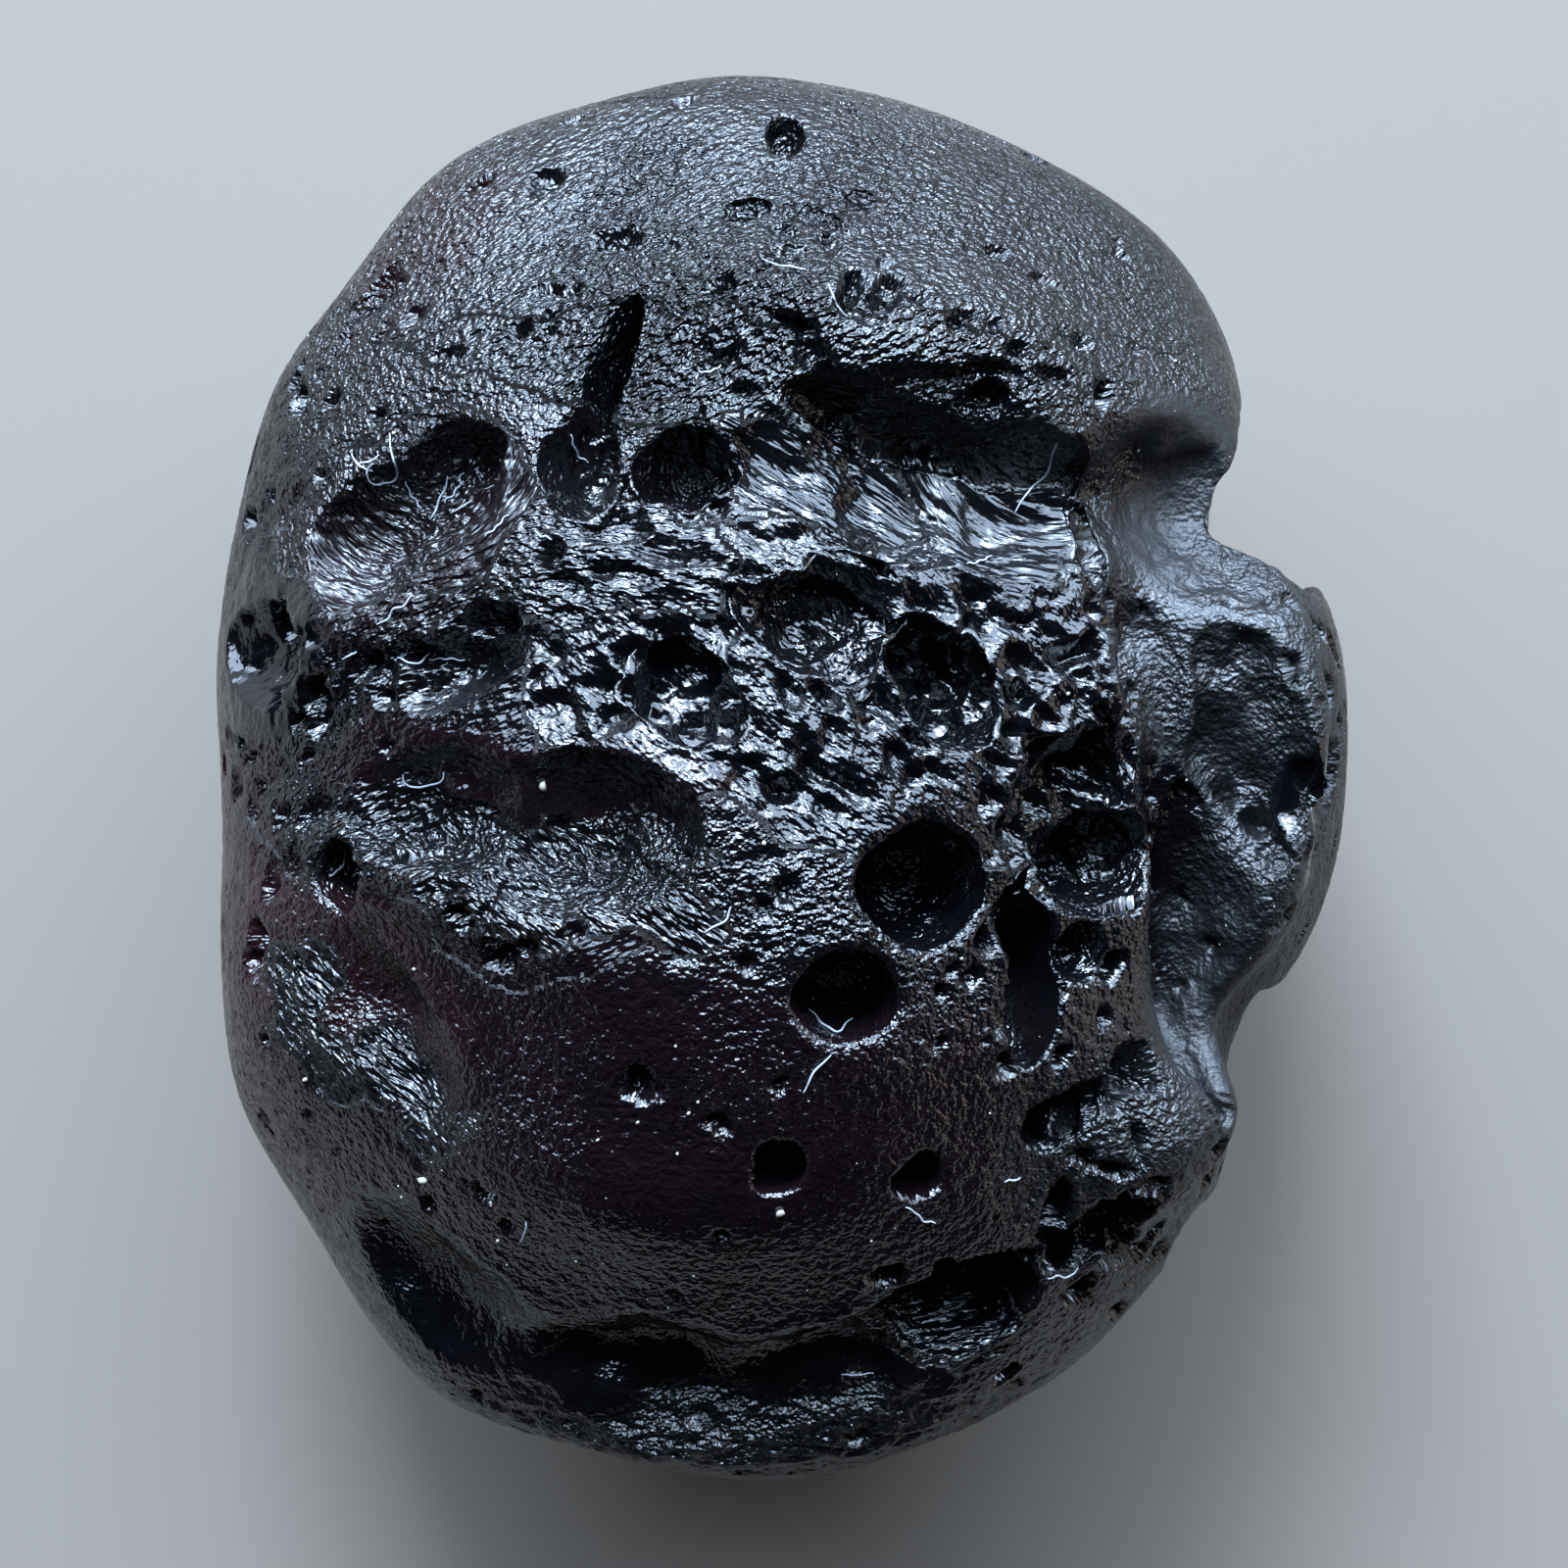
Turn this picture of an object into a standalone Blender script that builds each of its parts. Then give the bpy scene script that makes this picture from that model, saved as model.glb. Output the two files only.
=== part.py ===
"""A black glass tektite, one solid natural piece, lying on its flatter back.

Metres, +Z up. X runs across the stone, Y along it. The origin is on the resting flat,
under the middle of the stone's box. The stone is a boulder form drawn from its outline
and its two rises, raised and sunk by broad swells, with the clefts, scoops and burst
bubbles cut out of it.
"""

import math
from dataclasses import dataclass

import bmesh
import bpy
from mathutils import Matrix, Vector, noise

MM = 0.001

# Driving dimensions of the boulder form.
FRONT_RISE = 11.4 * MM  # from the widest plane up to the crown
BACK_RISE = 10.6 * MM  # from the widest plane down to the back's crown
FLAT_DEPTH = 0.35 * MM  # how much of the back's crown the resting flat takes off
SECTION_POWER = 2.2  # 2 makes an ellipse of each upright section, more makes it squarer
# Reach of the outline from the middle, in mm, every 15 degrees, counter-clockwise from +X.
OUTLINE_STEP_DEG = 15
OUTLINE_REACH_MM = (
    14.4, 14.8, 14.4, 16.0, 16.9, 17.3, 18.0, 18.0, 17.8, 16.8, 15.9, 14.9,
    14.5, 15.3, 16.1, 16.8, 18.1, 18.2, 18.1, 17.6, 16.5, 15.5, 13.9, 14.2,
)

# Finish of the solid: how finely it is modelled.
BOULDER_SUBDIVISIONS = 5
SCOOP_SUBDIVISIONS = 3
MELT_VOXEL = 0.26 * MM  # rounds the rims where the scoops meet
LUMP_HEIGHT = 0.30 * MM
LUMP_SPACING = 4.5 * MM
SCOOP_UNEVENNESS = 0.16  # share of a scoop's size that its walls wander by
WANDER_SPACING = 0.77  # how far apart the walls' wanders are, in half axes of the scoop
WANDER_SHIFT = 7.1  # steps the noise on from one scoop to the next, so no two wander alike
TRIANGLES = 9700
SIDE_NORMAL = 0.6  # a surface whose normal rises less than this counts as the stone's side


@dataclass(frozen=True)
class Swell:
    """A broad soft rise or dent of the surface: height at its middle and how far it spreads, in mm."""

    name: str
    spot: Vector
    length: float
    width: float
    height: float
    turn: float = 0.0


@dataclass(frozen=True)
class Scoop:
    """A hollow melted or etched into the stone: part of an ellipsoid, sunk in the surface.

    spot is where it sits, length and width are its mouth and depth its floor, in mm.
    turn is the bearing of its length in plan, in degrees; on the stone's side it is the
    slope of its length from level. dish is how far the ellipsoid's middle stands above
    the surface, as a share of its height: 0 is a full bowl, 0.7 a saucer.
    """

    name: str
    spot: Vector
    length: float
    width: float
    depth: float
    turn: float = 0.0
    dish: float = 0.3

    def radii(self):
        """Half axes of the ellipsoid along the scoop's length, its width and its depth."""
        mouth = math.sqrt(1 - self.dish**2)
        return Vector((self.length / 2 / mouth, self.width / 2 / mouth, self.depth / (1 - self.dish))) * MM


def reach(bearing):
    """Reach of the boulder's outline at a bearing in radians, as a smooth closed curve."""
    count = len(OUTLINE_REACH_MM)
    at = math.degrees(bearing) % 360 / OUTLINE_STEP_DEG
    first = int(at)
    t = at - first
    before, start, end, after = (OUTLINE_REACH_MM[(first + i) % count] for i in (-1, 0, 1, 2))
    slope_in, slope_out = (end - before) / 2, (after - start) / 2
    bend = 2 * start - 2 * end + slope_in + slope_out
    curve = -3 * start + 3 * end - 2 * slope_in - slope_out
    return (((bend * t + curve) * t + slope_in) * t + start) * MM


def rise(z):
    """The boulder's rise on the side of its widest plane that a height is on."""
    return FRONT_RISE if z >= 0 else BACK_RISE


def shrink(share):
    """What is left of one half axis of a section where the other is at this share of its own."""
    return max(0.0, 1 - abs(share) ** SECTION_POWER) ** (1 / SECTION_POWER)


def face(x_mm, y_mm, side):
    """The point of the boulder form at a place in plan, on the front (side 1) or the back (-1)."""
    share = math.hypot(x_mm, y_mm) * MM / reach(math.atan2(y_mm, x_mm))
    return Vector((x_mm * MM, y_mm * MM, side * rise(side) * shrink(share)))


def front(x_mm, y_mm):
    """A place on the face that looks up."""
    return face(x_mm, y_mm, 1)


def back(x_mm, y_mm):
    """A place on the face that the stone lies on."""
    return face(x_mm, y_mm, -1)


def rim(bearing_deg, z_mm):
    """A place on the side of the stone, at a height from its widest plane."""
    bearing = math.radians(bearing_deg)
    out = reach(bearing) * shrink(z_mm * MM / rise(z_mm))
    return Vector((out * math.cos(bearing), out * math.sin(bearing), z_mm * MM))


def boulder_field(point):
    """Under 0 inside the boulder form and over 0 outside it."""
    share = math.hypot(point.x, point.y) / reach(math.atan2(point.y, point.x))
    return share**SECTION_POWER + abs(point.z / rise(point.z)) ** SECTION_POWER - 1


def outward(point):
    """The boulder form's normal at a point."""
    step = 0.2 * MM
    slopes = []
    for axis in (Vector((step, 0, 0)), Vector((0, step, 0)), Vector((0, 0, step))):
        slopes.append(boulder_field(point + axis) - boulder_field(point - axis))
    return Vector(slopes).normalized()


def axes_at(point, turn_deg):
    """Directions along, across and out of the surface at a point, as a matrix's columns."""
    normal = outward(point)
    bearing = math.radians(turn_deg)
    heading = Vector((math.cos(bearing), math.sin(bearing), 0))
    if abs(normal.z) < SIDE_NORMAL:
        level = Vector((-normal.y, normal.x, 0)).normalized()
        heading = level * math.cos(bearing) + Vector((0, 0, math.sin(bearing)))
    along = (heading - normal * heading.dot(normal)).normalized()
    return Matrix((along, normal.cross(along), normal)).transposed()


SWELLS = (
    # The front: brow, body, lobe and the sunk ground between them.
    Swell("brow", front(1.5, 10.8), 14.0, 3.8, 0.9, -8),
    Swell("body", front(-0.9, -3.4), 14.0, 11.0, 1.5, 100),
    Swell("chin", front(-3.8, -9.8), 9.5, 4.2, 0.8, -8),
    Swell("band_ridge", front(-3.4, 4.8), 7.0, 2.4, 0.4, -8),
    Swell("west_ridge", front(-7.8, -2.9), 8.0, 2.0, 0.7, -14),
    Swell("west_bank", front(-10.8, 3.4), 5.5, 2.8, 0.5, 20),
    Swell("lobe", front(11.8, 0.7), 9.0, 2.8, 1.5, 92),
    Swell("lobe_valley", front(9.9, -0.6), 12.5, 2.2, -1.8, 102),
    Swell("southeast_lump", front(9.4, -8.6), 4.6, 3.0, 2.0, 20),
    Swell("southeast_saddle", front(11.2, -6.4), 4.0, 3.0, -1.0, 10),
    Swell("bottom_rim", front(-1.0, -16.4), 13.0, 2.2, 0.8, 3),
    Swell("north_slope", front(-5.8, 12.4), 12.0, 6.0, -0.5, 30),
    # The back and the sides.
    Swell("back_ridge", back(3.0, -4.0), 16.0, 6.0, 0.5, 60),
    Swell("back_hollow", back(-6.5, 8.0), 9.0, 6.0, -0.8, 35),
    Swell("back_shoulder", back(8.0, 9.0), 7.0, 5.0, 0.7, -30),
    Swell("west_flank", rim(186, -2.0), 9.0, 5.0, -0.4, 80),
    Swell("north_flank", rim(100, -3.0), 10.0, 4.0, -0.6, 10),
)

SCOOPS = (
    # The deep cleft under the brow, and the side channel that it runs out through.
    Scoop("brow_cleft", front(3.9, 6.9), 9.6, 4.0, 1.2, -14, 0.6),
    Scoop("brow_cleft_undercut", front(4.2, 8.1), 9.0, 1.2, 2.6, -12, 0.1),
    Scoop("cleft_west_floor", front(0.5, 7.3), 4.4, 2.8, 1.0, -28, 0.55),
    Scoop("cleft_end_slot", front(7.5, 5.5), 2.6, 0.8, 2.4, -82, 0.2),
    Scoop("side_channel", front(9.3, 6.2), 5.2, 4.2, 1.3, 0, 0.6),
    Scoop("side_bay", rim(28.5, 0.5), 15.0, 5.0, 3.5, 90, 0.25),
    # The slots and bowls west of the cleft.
    Scoop("upright_slot", front(-4.1, 9.8), 3.2, 1.1, 3.0, 72, 0.1),
    Scoop("slot_foot", front(-4.7, 7.5), 2.9, 1.9, 1.8, 85, 0.3),
    Scoop("round_bowl", front(-2.2, 7.2), 2.5, 2.0, 2.2, 0, 0.15),
    Scoop("west_hollow", front(-9.3, 6.2), 6.0, 3.4, 1.7, 18, 0.5),
    Scoop("west_hollow_head", front(-8.6, 7.2), 4.6, 1.5, 1.6, 14, 0.4),
    Scoop("west_chip", front(-12.8, 3.0), 4.4, 2.6, 1.1, 80, 0.7),
    Scoop("chip_crevice", front(-12.3, 2.9), 2.4, 1.0, 1.8, 80, 0.0),
    # The craters across the middle.
    Scoop("middle_crater", front(0.8, 3.3), 3.2, 2.2, 1.5, -15, 0.4),
    Scoop("slanting_crater", front(3.6, 2.2), 3.6, 2.2, 1.8, -50, 0.3),
    Scoop("ripple_hollow", front(-2.2, 1.8), 3.0, 1.9, 1.1, -35, 0.5),
    Scoop("long_hollow_west", front(-8.0, -0.8), 6.4, 3.0, 1.3, -4, 0.3),
    Scoop("long_hollow_east", front(-4.6, -1.2), 5.6, 3.6, 1.7, -12, 0.3),
    Scoop("east_dish", front(7.0, -1.0), 4.4, 3.6, 1.4, 60, 0.55),
    # Burst bubbles.
    Scoop("bubble_middle", front(3.0, -2.5), 3.0, 2.9, 3.2, 0, 0.0),
    Scoop("bubble_south", front(1.3, -5.0), 2.4, 2.1, 2.6, 0, 0.0),
    Scoop("bubble_upright", front(5.7, -5.0), 3.9, 1.5, 2.8, 87, 0.0),
    Scoop("bubble_upright_head", front(5.4, -3.5), 1.5, 1.3, 1.5, 80, 0.2),
    Scoop("bubble_east", front(7.7, -2.2), 3.2, 2.3, 2.6, 8, 0.0),
    Scoop("bubble_east_foot", front(7.0, -4.2), 1.5, 1.4, 1.4, 80, 0.3),
    Scoop("bubble_low", front(-0.2, -8.8), 1.4, 1.5, 1.8, 0, 0.0),
    Scoop("bubble_west", front(-10.6, -2.5), 1.8, 1.6, 1.6, 0, 0.05),
    Scoop("bubble_southeast", front(6.4, -8.1), 1.9, 1.3, 1.5, 10, 0.1),
    # The valley that parts the east lobe from the body, and the hollows in the lobe.
    Scoop("lobe_valley_north", front(8.8, 2.6), 5.0, 1.8, 0.8, 98, 0.5),
    Scoop("lobe_valley_south", front(10.3, -3.6), 7.6, 1.9, 1.1, 100, 0.6),
    Scoop("lobe_hollow", front(10.4, 2.5), 2.4, 1.7, 0.6, -72, 0.6),
    Scoop("lobe_hollow_foot", front(10.7, 0.1), 4.8, 2.1, 0.9, 98, 0.6),
    Scoop("lobe_waist", rim(330, 0.5), 10.0, 3.4, 0.8, 90, 0.55),
    # The lower face.
    Scoop("southwest_valley", front(-9.8, -5.4), 6.4, 2.8, 0.4, -38, 0.5),
    Scoop("crescent_west", front(-8.4, -12.6), 6.8, 3.4, 0.9, -30, 0.6),
    Scoop("crescent_middle", front(-3.4, -14.3), 9.0, 3.6, 1.1, -8, 0.6),
    Scoop("crescent_east", front(1.6, -14.2), 7.2, 3.2, 1.0, 8, 0.6),
    Scoop("oval_cavity", front(4.1, -12.9), 4.6, 3.0, 2.8, 8, 0.0),
    Scoop("oval_cavity_head", front(4.7, -12.0), 3.4, 1.4, 3.2, 8, 0.0),
    Scoop("southeast_gouge", front(7.6, -11.0), 2.8, 1.7, 1.5, 55, 0.4),
    Scoop("southeast_notch", rim(312, 1.5), 4.4, 2.6, 0.8, 70, 0.5),
    # The crown's north slope.
    Scoop("north_pit", front(0.1, 15.7), 0.9, 1.5, 1.0, 0, 0.0),
    # The back, which carries broader hollows round the resting flat.
    Scoop("back_long_scoop", back(-7.6, 6.4), 9.0, 3.8, 2.2, 40, 0.5),
    Scoop("back_north_bowl", back(2.6, 11.6), 5.0, 3.8, 2.0, 10, 0.4),
    Scoop("back_bay_tail", back(10.4, 6.2), 5.6, 3.0, 1.9, 25, 0.5),
    Scoop("back_east_scoop", back(10.2, -2.6), 6.2, 3.0, 1.8, 80, 0.5),
    Scoop("back_bubble_east", back(7.2, -8.2), 2.8, 2.5, 2.3, 0, 0.05),
    Scoop("back_bubble_pair", back(9.0, -10.2), 2.0, 1.8, 1.6, 0, 0.05),
    Scoop("back_south_scoop", back(-1.6, -13.0), 8.4, 3.6, 2.1, 8, 0.5),
    Scoop("back_southwest_scoop", back(-9.4, -7.4), 7.0, 3.4, 1.9, -55, 0.5),
    Scoop("back_bubble_west", back(-11.0, -0.6), 2.6, 2.3, 2.0, 0, 0.1),
    Scoop("back_bubble_north", back(-3.4, 12.6), 2.4, 2.2, 1.9, 0, 0.1),
    # The sides.
    Scoop("north_side_scoop", rim(112, -2.5), 7.0, 3.4, 1.5, 15, 0.6),
    Scoop("west_side_scoop", rim(196, -3.5), 6.0, 3.6, 1.5, 70, 0.6),
    Scoop("south_side_scoop", rim(262, -3.5), 7.4, 3.2, 1.6, 0, 0.6),
    Scoop("south_side_bubble", rim(285, -2.5), 2.2, 1.9, 1.6, 0, 0.1),
    Scoop("northeast_side_bubble", rim(62, -4.2), 2.4, 2.1, 1.8, 0, 0.1),
)


def swell_height(point):
    """How far the surface stands out of the boulder form at a point."""
    lump = noise.noise(point / LUMP_SPACING, noise_basis="PERLIN_ORIGINAL")
    height = lump * LUMP_HEIGHT
    for swell in SWELLS:
        local = axes_at(swell.spot, swell.turn).transposed() @ (point - swell.spot)
        far = math.hypot(local.x / swell.length, local.y / swell.width, local.z / swell.length) * 2 / MM
        height += swell.height * MM * math.exp(-far * far)
    return height


def clear_scene():
    """Removes whatever the file opened with."""
    for obj in list(bpy.data.objects):
        bpy.data.objects.remove(obj)


def ball(name, subdivisions, shape):
    """An icosphere object whose unit directions are each moved to shape(direction)."""
    mesh = bpy.data.meshes.new(name)
    form = bmesh.new()
    bmesh.ops.create_icosphere(form, subdivisions=subdivisions, radius=1.0)
    for vertex in form.verts:
        vertex.co = shape(vertex.co.normalized())
    form.to_mesh(mesh)
    form.free()
    obj = bpy.data.objects.new(name, mesh)
    bpy.context.scene.collection.objects.link(obj)
    return obj


def boulder_point(direction):
    """Where a direction from the stone's middle meets its swollen boulder form."""
    level = math.hypot(direction.x, direction.y)
    bearing = math.atan2(direction.y, direction.x)
    power = 2 / SECTION_POWER
    out = reach(bearing) * level**power
    up = math.copysign(abs(direction.z) ** power, direction.z) * rise(direction.z)
    point = Vector((out * math.cos(bearing), out * math.sin(bearing), up))
    return point + outward(point) * swell_height(point)


def as_guide(obj):
    """Marks a cutter as a helper that isn't part of the stone."""
    obj.hide_render = True
    obj.display_type = "WIRE"


def scoop_cutter(scoop, number):
    """The uneven ellipsoid that a scoop takes out of the stone."""
    radii = scoop.radii()
    axes = axes_at(scoop.spot, scoop.turn)
    normal = axes.col[2]
    middle = scoop.spot + normal * (swell_height(scoop.spot) + radii.z * scoop.dish)

    shift = Vector((number * WANDER_SHIFT, 0, 0))

    def wall(direction):
        wander = noise.noise(direction / WANDER_SPACING + shift, noise_basis="PERLIN_ORIGINAL")
        return middle + axes @ (direction * radii) * (1 + SCOOP_UNEVENNESS * wander)

    cutter = ball("cutter_" + scoop.name, SCOOP_SUBDIVISIONS, wall)
    as_guide(cutter)
    return cutter


def floor_cutter():
    """The block under the stone whose top makes the resting flat."""
    size = 60 * MM
    bpy.ops.mesh.primitive_cube_add(size=size, location=(0, 0, -size / 2))
    block = bpy.context.object
    block.name = "cutter_floor"
    as_guide(block)
    return block


def glass_material():
    """Black tektite glass: nearly opaque, with an etched satin skin."""
    material = bpy.data.materials.new("tektite_glass")
    material.use_nodes = True
    shader = material.node_tree.nodes["Principled BSDF"]
    shader.inputs["Base Color"].default_value = (0.012, 0.011, 0.013, 1)
    shader.inputs["Roughness"].default_value = 0.38
    shader.inputs["Metallic"].default_value = 0.0
    return material


def add(obj, kind, name, **settings):
    """Adds a modifier with its settings."""
    modifier = obj.modifiers.new(name, kind)
    for key, value in settings.items():
        setattr(modifier, key, value)
    return modifier


def triangle_count(obj):
    """How many triangles the object has as the viewport evaluates it."""
    evaluated = obj.evaluated_get(bpy.context.evaluated_depsgraph_get())
    mesh = evaluated.to_mesh()
    mesh.calc_loop_triangles()
    count = len(mesh.loop_triangles)
    evaluated.to_mesh_clear()
    return count


def build_tektite():
    """The whole stone, standing on its resting flat."""
    stone = ball("tektite", BOULDER_SUBDIVISIONS, boulder_point)
    cutters = bpy.data.collections.new("cutters")
    bpy.context.scene.collection.children.link(cutters)
    for number, scoop in enumerate(SCOOPS):
        cutter = scoop_cutter(scoop, number)
        bpy.context.scene.collection.objects.unlink(cutter)
        cutters.objects.link(cutter)
    middle_height = BACK_RISE - FLAT_DEPTH
    for obj in (stone, *cutters.objects):
        obj.location.z = middle_height
    add(
        stone, "BOOLEAN", "scoops", operation="DIFFERENCE", solver="EXACT",
        operand_type="COLLECTION", collection=cutters, use_self=False,
    )
    add(stone, "REMESH", "melt", mode="VOXEL", voxel_size=MELT_VOXEL)
    add(stone, "SMOOTH", "soften", factor=0.5, iterations=2)
    bpy.context.view_layer.update()
    add(stone, "DECIMATE", "facet", ratio=TRIANGLES / triangle_count(stone))
    add(stone, "BOOLEAN", "rest_flat", operation="DIFFERENCE", solver="EXACT", object=floor_cutter())
    stone.data.materials.append(glass_material())
    stone.data.shade_smooth()
    return stone


clear_scene()
build_tektite()
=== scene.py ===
"""A black glass tektite, lying on its back under a soft cool light from beyond its smooth cap.

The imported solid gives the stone's size and place. Its skin is remeshed finely, drawn onto the
exact form that the solid was cut from, and then etched: foam of burst bubbles, small pits and
flow lines that run with the melt, and a finer grit that is left to the material. Lint and dust
lie on it as small meshes of their own.
"""

import logging
import math
import time
from dataclasses import dataclass, field
from enum import Enum, IntEnum
from itertools import product

import bmesh
import bpy
import numpy as np
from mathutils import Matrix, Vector, noise
from mathutils.bvhtree import BVHTree


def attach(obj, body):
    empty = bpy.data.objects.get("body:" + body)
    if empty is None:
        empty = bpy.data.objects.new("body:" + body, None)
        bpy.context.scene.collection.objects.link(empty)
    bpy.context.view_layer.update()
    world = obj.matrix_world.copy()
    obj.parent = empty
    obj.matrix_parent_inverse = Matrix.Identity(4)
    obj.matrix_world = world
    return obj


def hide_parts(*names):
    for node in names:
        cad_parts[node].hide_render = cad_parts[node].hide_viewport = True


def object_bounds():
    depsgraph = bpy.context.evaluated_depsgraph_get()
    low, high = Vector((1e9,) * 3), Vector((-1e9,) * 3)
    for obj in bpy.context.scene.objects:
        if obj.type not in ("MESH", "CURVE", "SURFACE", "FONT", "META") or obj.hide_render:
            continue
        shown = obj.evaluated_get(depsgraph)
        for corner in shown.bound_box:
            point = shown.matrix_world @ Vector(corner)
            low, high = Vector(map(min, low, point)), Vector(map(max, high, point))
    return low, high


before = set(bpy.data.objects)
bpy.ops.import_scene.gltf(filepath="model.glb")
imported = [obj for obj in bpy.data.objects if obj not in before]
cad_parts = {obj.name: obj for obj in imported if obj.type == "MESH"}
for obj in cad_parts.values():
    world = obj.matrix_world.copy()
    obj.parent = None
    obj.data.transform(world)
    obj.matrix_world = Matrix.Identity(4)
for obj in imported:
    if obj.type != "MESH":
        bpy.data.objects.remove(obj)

CAD_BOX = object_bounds()
MM = 0.001

# A pattern repeats after this many of its cells. The finer ones do so within the stone, where
# one repeat can't be told from the next.
WAVE_CELLS = 32
BOWL_CELLS = 48

# Keeps a length that something is divided by from being 0.
TINY = 1e-9

log = logging.getLogger("tektite")
logging.basicConfig(level=logging.INFO, format="%(name)s %(message)s")


class Seed(IntEnum):
    """Which random pattern each texture of the skin, and the dust on it, draws on."""

    RIMS = 11
    RIM_FRAY = 12
    PATCH_EDGES = 21
    PATCH_FRAY = 22
    MOTTLE = 23
    PATCHINESS = 24
    FOAM_BEND = 31
    BUBBLES = 32
    PORES = 33
    CRUMBS = 34
    NET = 35
    FRAY = 36
    FLOW_BEND = 41
    LINES = 42
    HAIRS = 43
    PIT_RIMS = 52
    PIT_FRAY = 53
    DUST = 71


def smooth(low: float, high: float, value: np.ndarray) -> np.ndarray:
    """Eases from 0 at low to 1 at high."""
    t = np.clip((value - low) / (high - low), 0.0, 1.0)
    return t * t * (3 - 2 * t)


def turned(points: np.ndarray, seed: int) -> np.ndarray:
    """Points turned by a seeded amount, so that no pattern's cells line up with the axes."""
    axes, _ = np.linalg.qr(np.random.default_rng(seed).normal(size=(3, 3)))
    return points @ axes


def wave(points: np.ndarray, spacing: float, seed: int, channels: int = 1) -> np.ndarray:
    """Smooth seeded noise from -1 to 1, with a swell about every spacing.

    Args:
        points: Places, one row each, in mm.
        spacing: Distance between swells, in mm.
        seed: Chooses the pattern.
        channels: How many separate patterns to return.

    Returns:
        One row of channels for each point.
    """
    grid = (WAVE_CELLS, WAVE_CELLS, WAVE_CELLS, channels)
    table = np.random.default_rng(seed).uniform(-1, 1, grid).astype(np.float32)
    at = turned(points, seed) / spacing
    low = np.floor(at).astype(np.int64)
    t = (at - low).astype(np.float32)
    t = t * t * t * (t * (t * 6 - 15) + 10)
    total = np.zeros((len(points), channels), np.float32)
    for dx, dy, dz in product((0, 1), repeat=3):
        share = np.abs(1 - dx - t[:, 0]) * np.abs(1 - dy - t[:, 1]) * np.abs(1 - dz - t[:, 2])
        corner = (low + (dx, dy, dz)) % WAVE_CELLS
        total += share[:, None] * table[corner[:, 0], corner[:, 1], corner[:, 2]]
    return total


def creases(points: np.ndarray, spacing: float, seed: int) -> np.ndarray:
    """Seeded noise folded at 0, which runs from 0 in sharp creases to 1 between them."""
    return np.abs(wave(points, spacing, seed)[:, 0])


def plan_axes(east: np.ndarray, north: np.ndarray, turn_deg: float) -> tuple:
    """Distances in plan along a heading, given in degrees from east, and across it."""
    turn = math.radians(turn_deg)
    return east * math.cos(turn) + north * math.sin(turn), north * math.cos(turn) - east * math.sin(turn)


def rows(items: bpy.types.bpy_prop_collection, name: str) -> np.ndarray:
    """Reads a three-part value of each of a mesh's items.

    Args:
        items: The items, such as the mesh's vertices.
        name: The value, such as co.

    Returns:
        One row for each item.
    """
    values = np.empty(len(items) * 3, np.float32)
    items.foreach_get(name, values)
    return values.reshape(-1, 3)


def linked(name: str, data: bpy.types.ID) -> bpy.types.Object:
    """Makes an object of a mesh, a light or a camera.

    Args:
        name: The object's name.
        data: What it shows.

    Returns:
        The object, linked to the scene.
    """
    made = bpy.data.objects.new(name, data)
    bpy.context.scene.collection.objects.link(made)
    return made


def bowls(
    points: np.ndarray, spacing: float, seed: int, fill: np.ndarray, steep: float,
) -> np.ndarray:
    """Depth of the deepest of many scattered round bowls at each point, in mm.

    Args:
        points: Places, one row each, in mm.
        spacing: Size of the cells that hold a bowl each, in mm.
        seed: Chooses the pattern.
        fill: Share of the cells that hold a bowl, at each point.
        steep: Depth of a bowl as a share of its radius.

    Returns:
        A depth for each point, 0 between the bowls.
    """
    # A bowl's radius as a share of its cell, and the most that the dice add to it.
    least, spread = 0.35, 0.45
    grid = (BOWL_CELLS, BOWL_CELLS, BOWL_CELLS, 5)
    table = np.random.default_rng(seed).uniform(0, 1, grid).astype(np.float32)
    at = turned(points, seed) / spacing
    low = np.floor(at).astype(np.int64)
    deepest = np.zeros(len(points), np.float32)
    for step in product((-1, 0, 1), repeat=3):
        cell = low + step
        home = cell % BOWL_CELLS
        dice = table[home[:, 0], home[:, 1], home[:, 2]]
        radius = least + spread * dice[:, 3] ** 2
        gap = at - cell - dice[:, :3]
        far = np.sqrt((gap * gap).sum(axis=1)) / radius
        depth = np.where(dice[:, 4] < fill, radius * np.clip(1 - far * far, 0, 1), 0)
        deepest = np.maximum(deepest, depth)
    return deepest * spacing * steep


@dataclass(frozen=True)
class Swell:
    """A broad soft rise or dent of the surface: height at its middle and how far it spreads, in mm."""

    name: str
    spot: np.ndarray
    length: float
    width: float
    height: float
    turn: float = 0.0


@dataclass(frozen=True)
class Scoop:
    """A hollow in the stone: part of an ellipsoid, sunk in the surface, with its sizes in mm.

    dish is how far the ellipsoid's middle stands above the surface, as a share of its half
    height: 0 is a full bowl, 0.7 a saucer. edge is how softly its rim is rounded.
    """

    name: str
    spot: np.ndarray
    length: float
    width: float
    depth: float
    turn: float = 0.0
    dish: float = 0.3
    edge: float = 0.12


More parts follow.
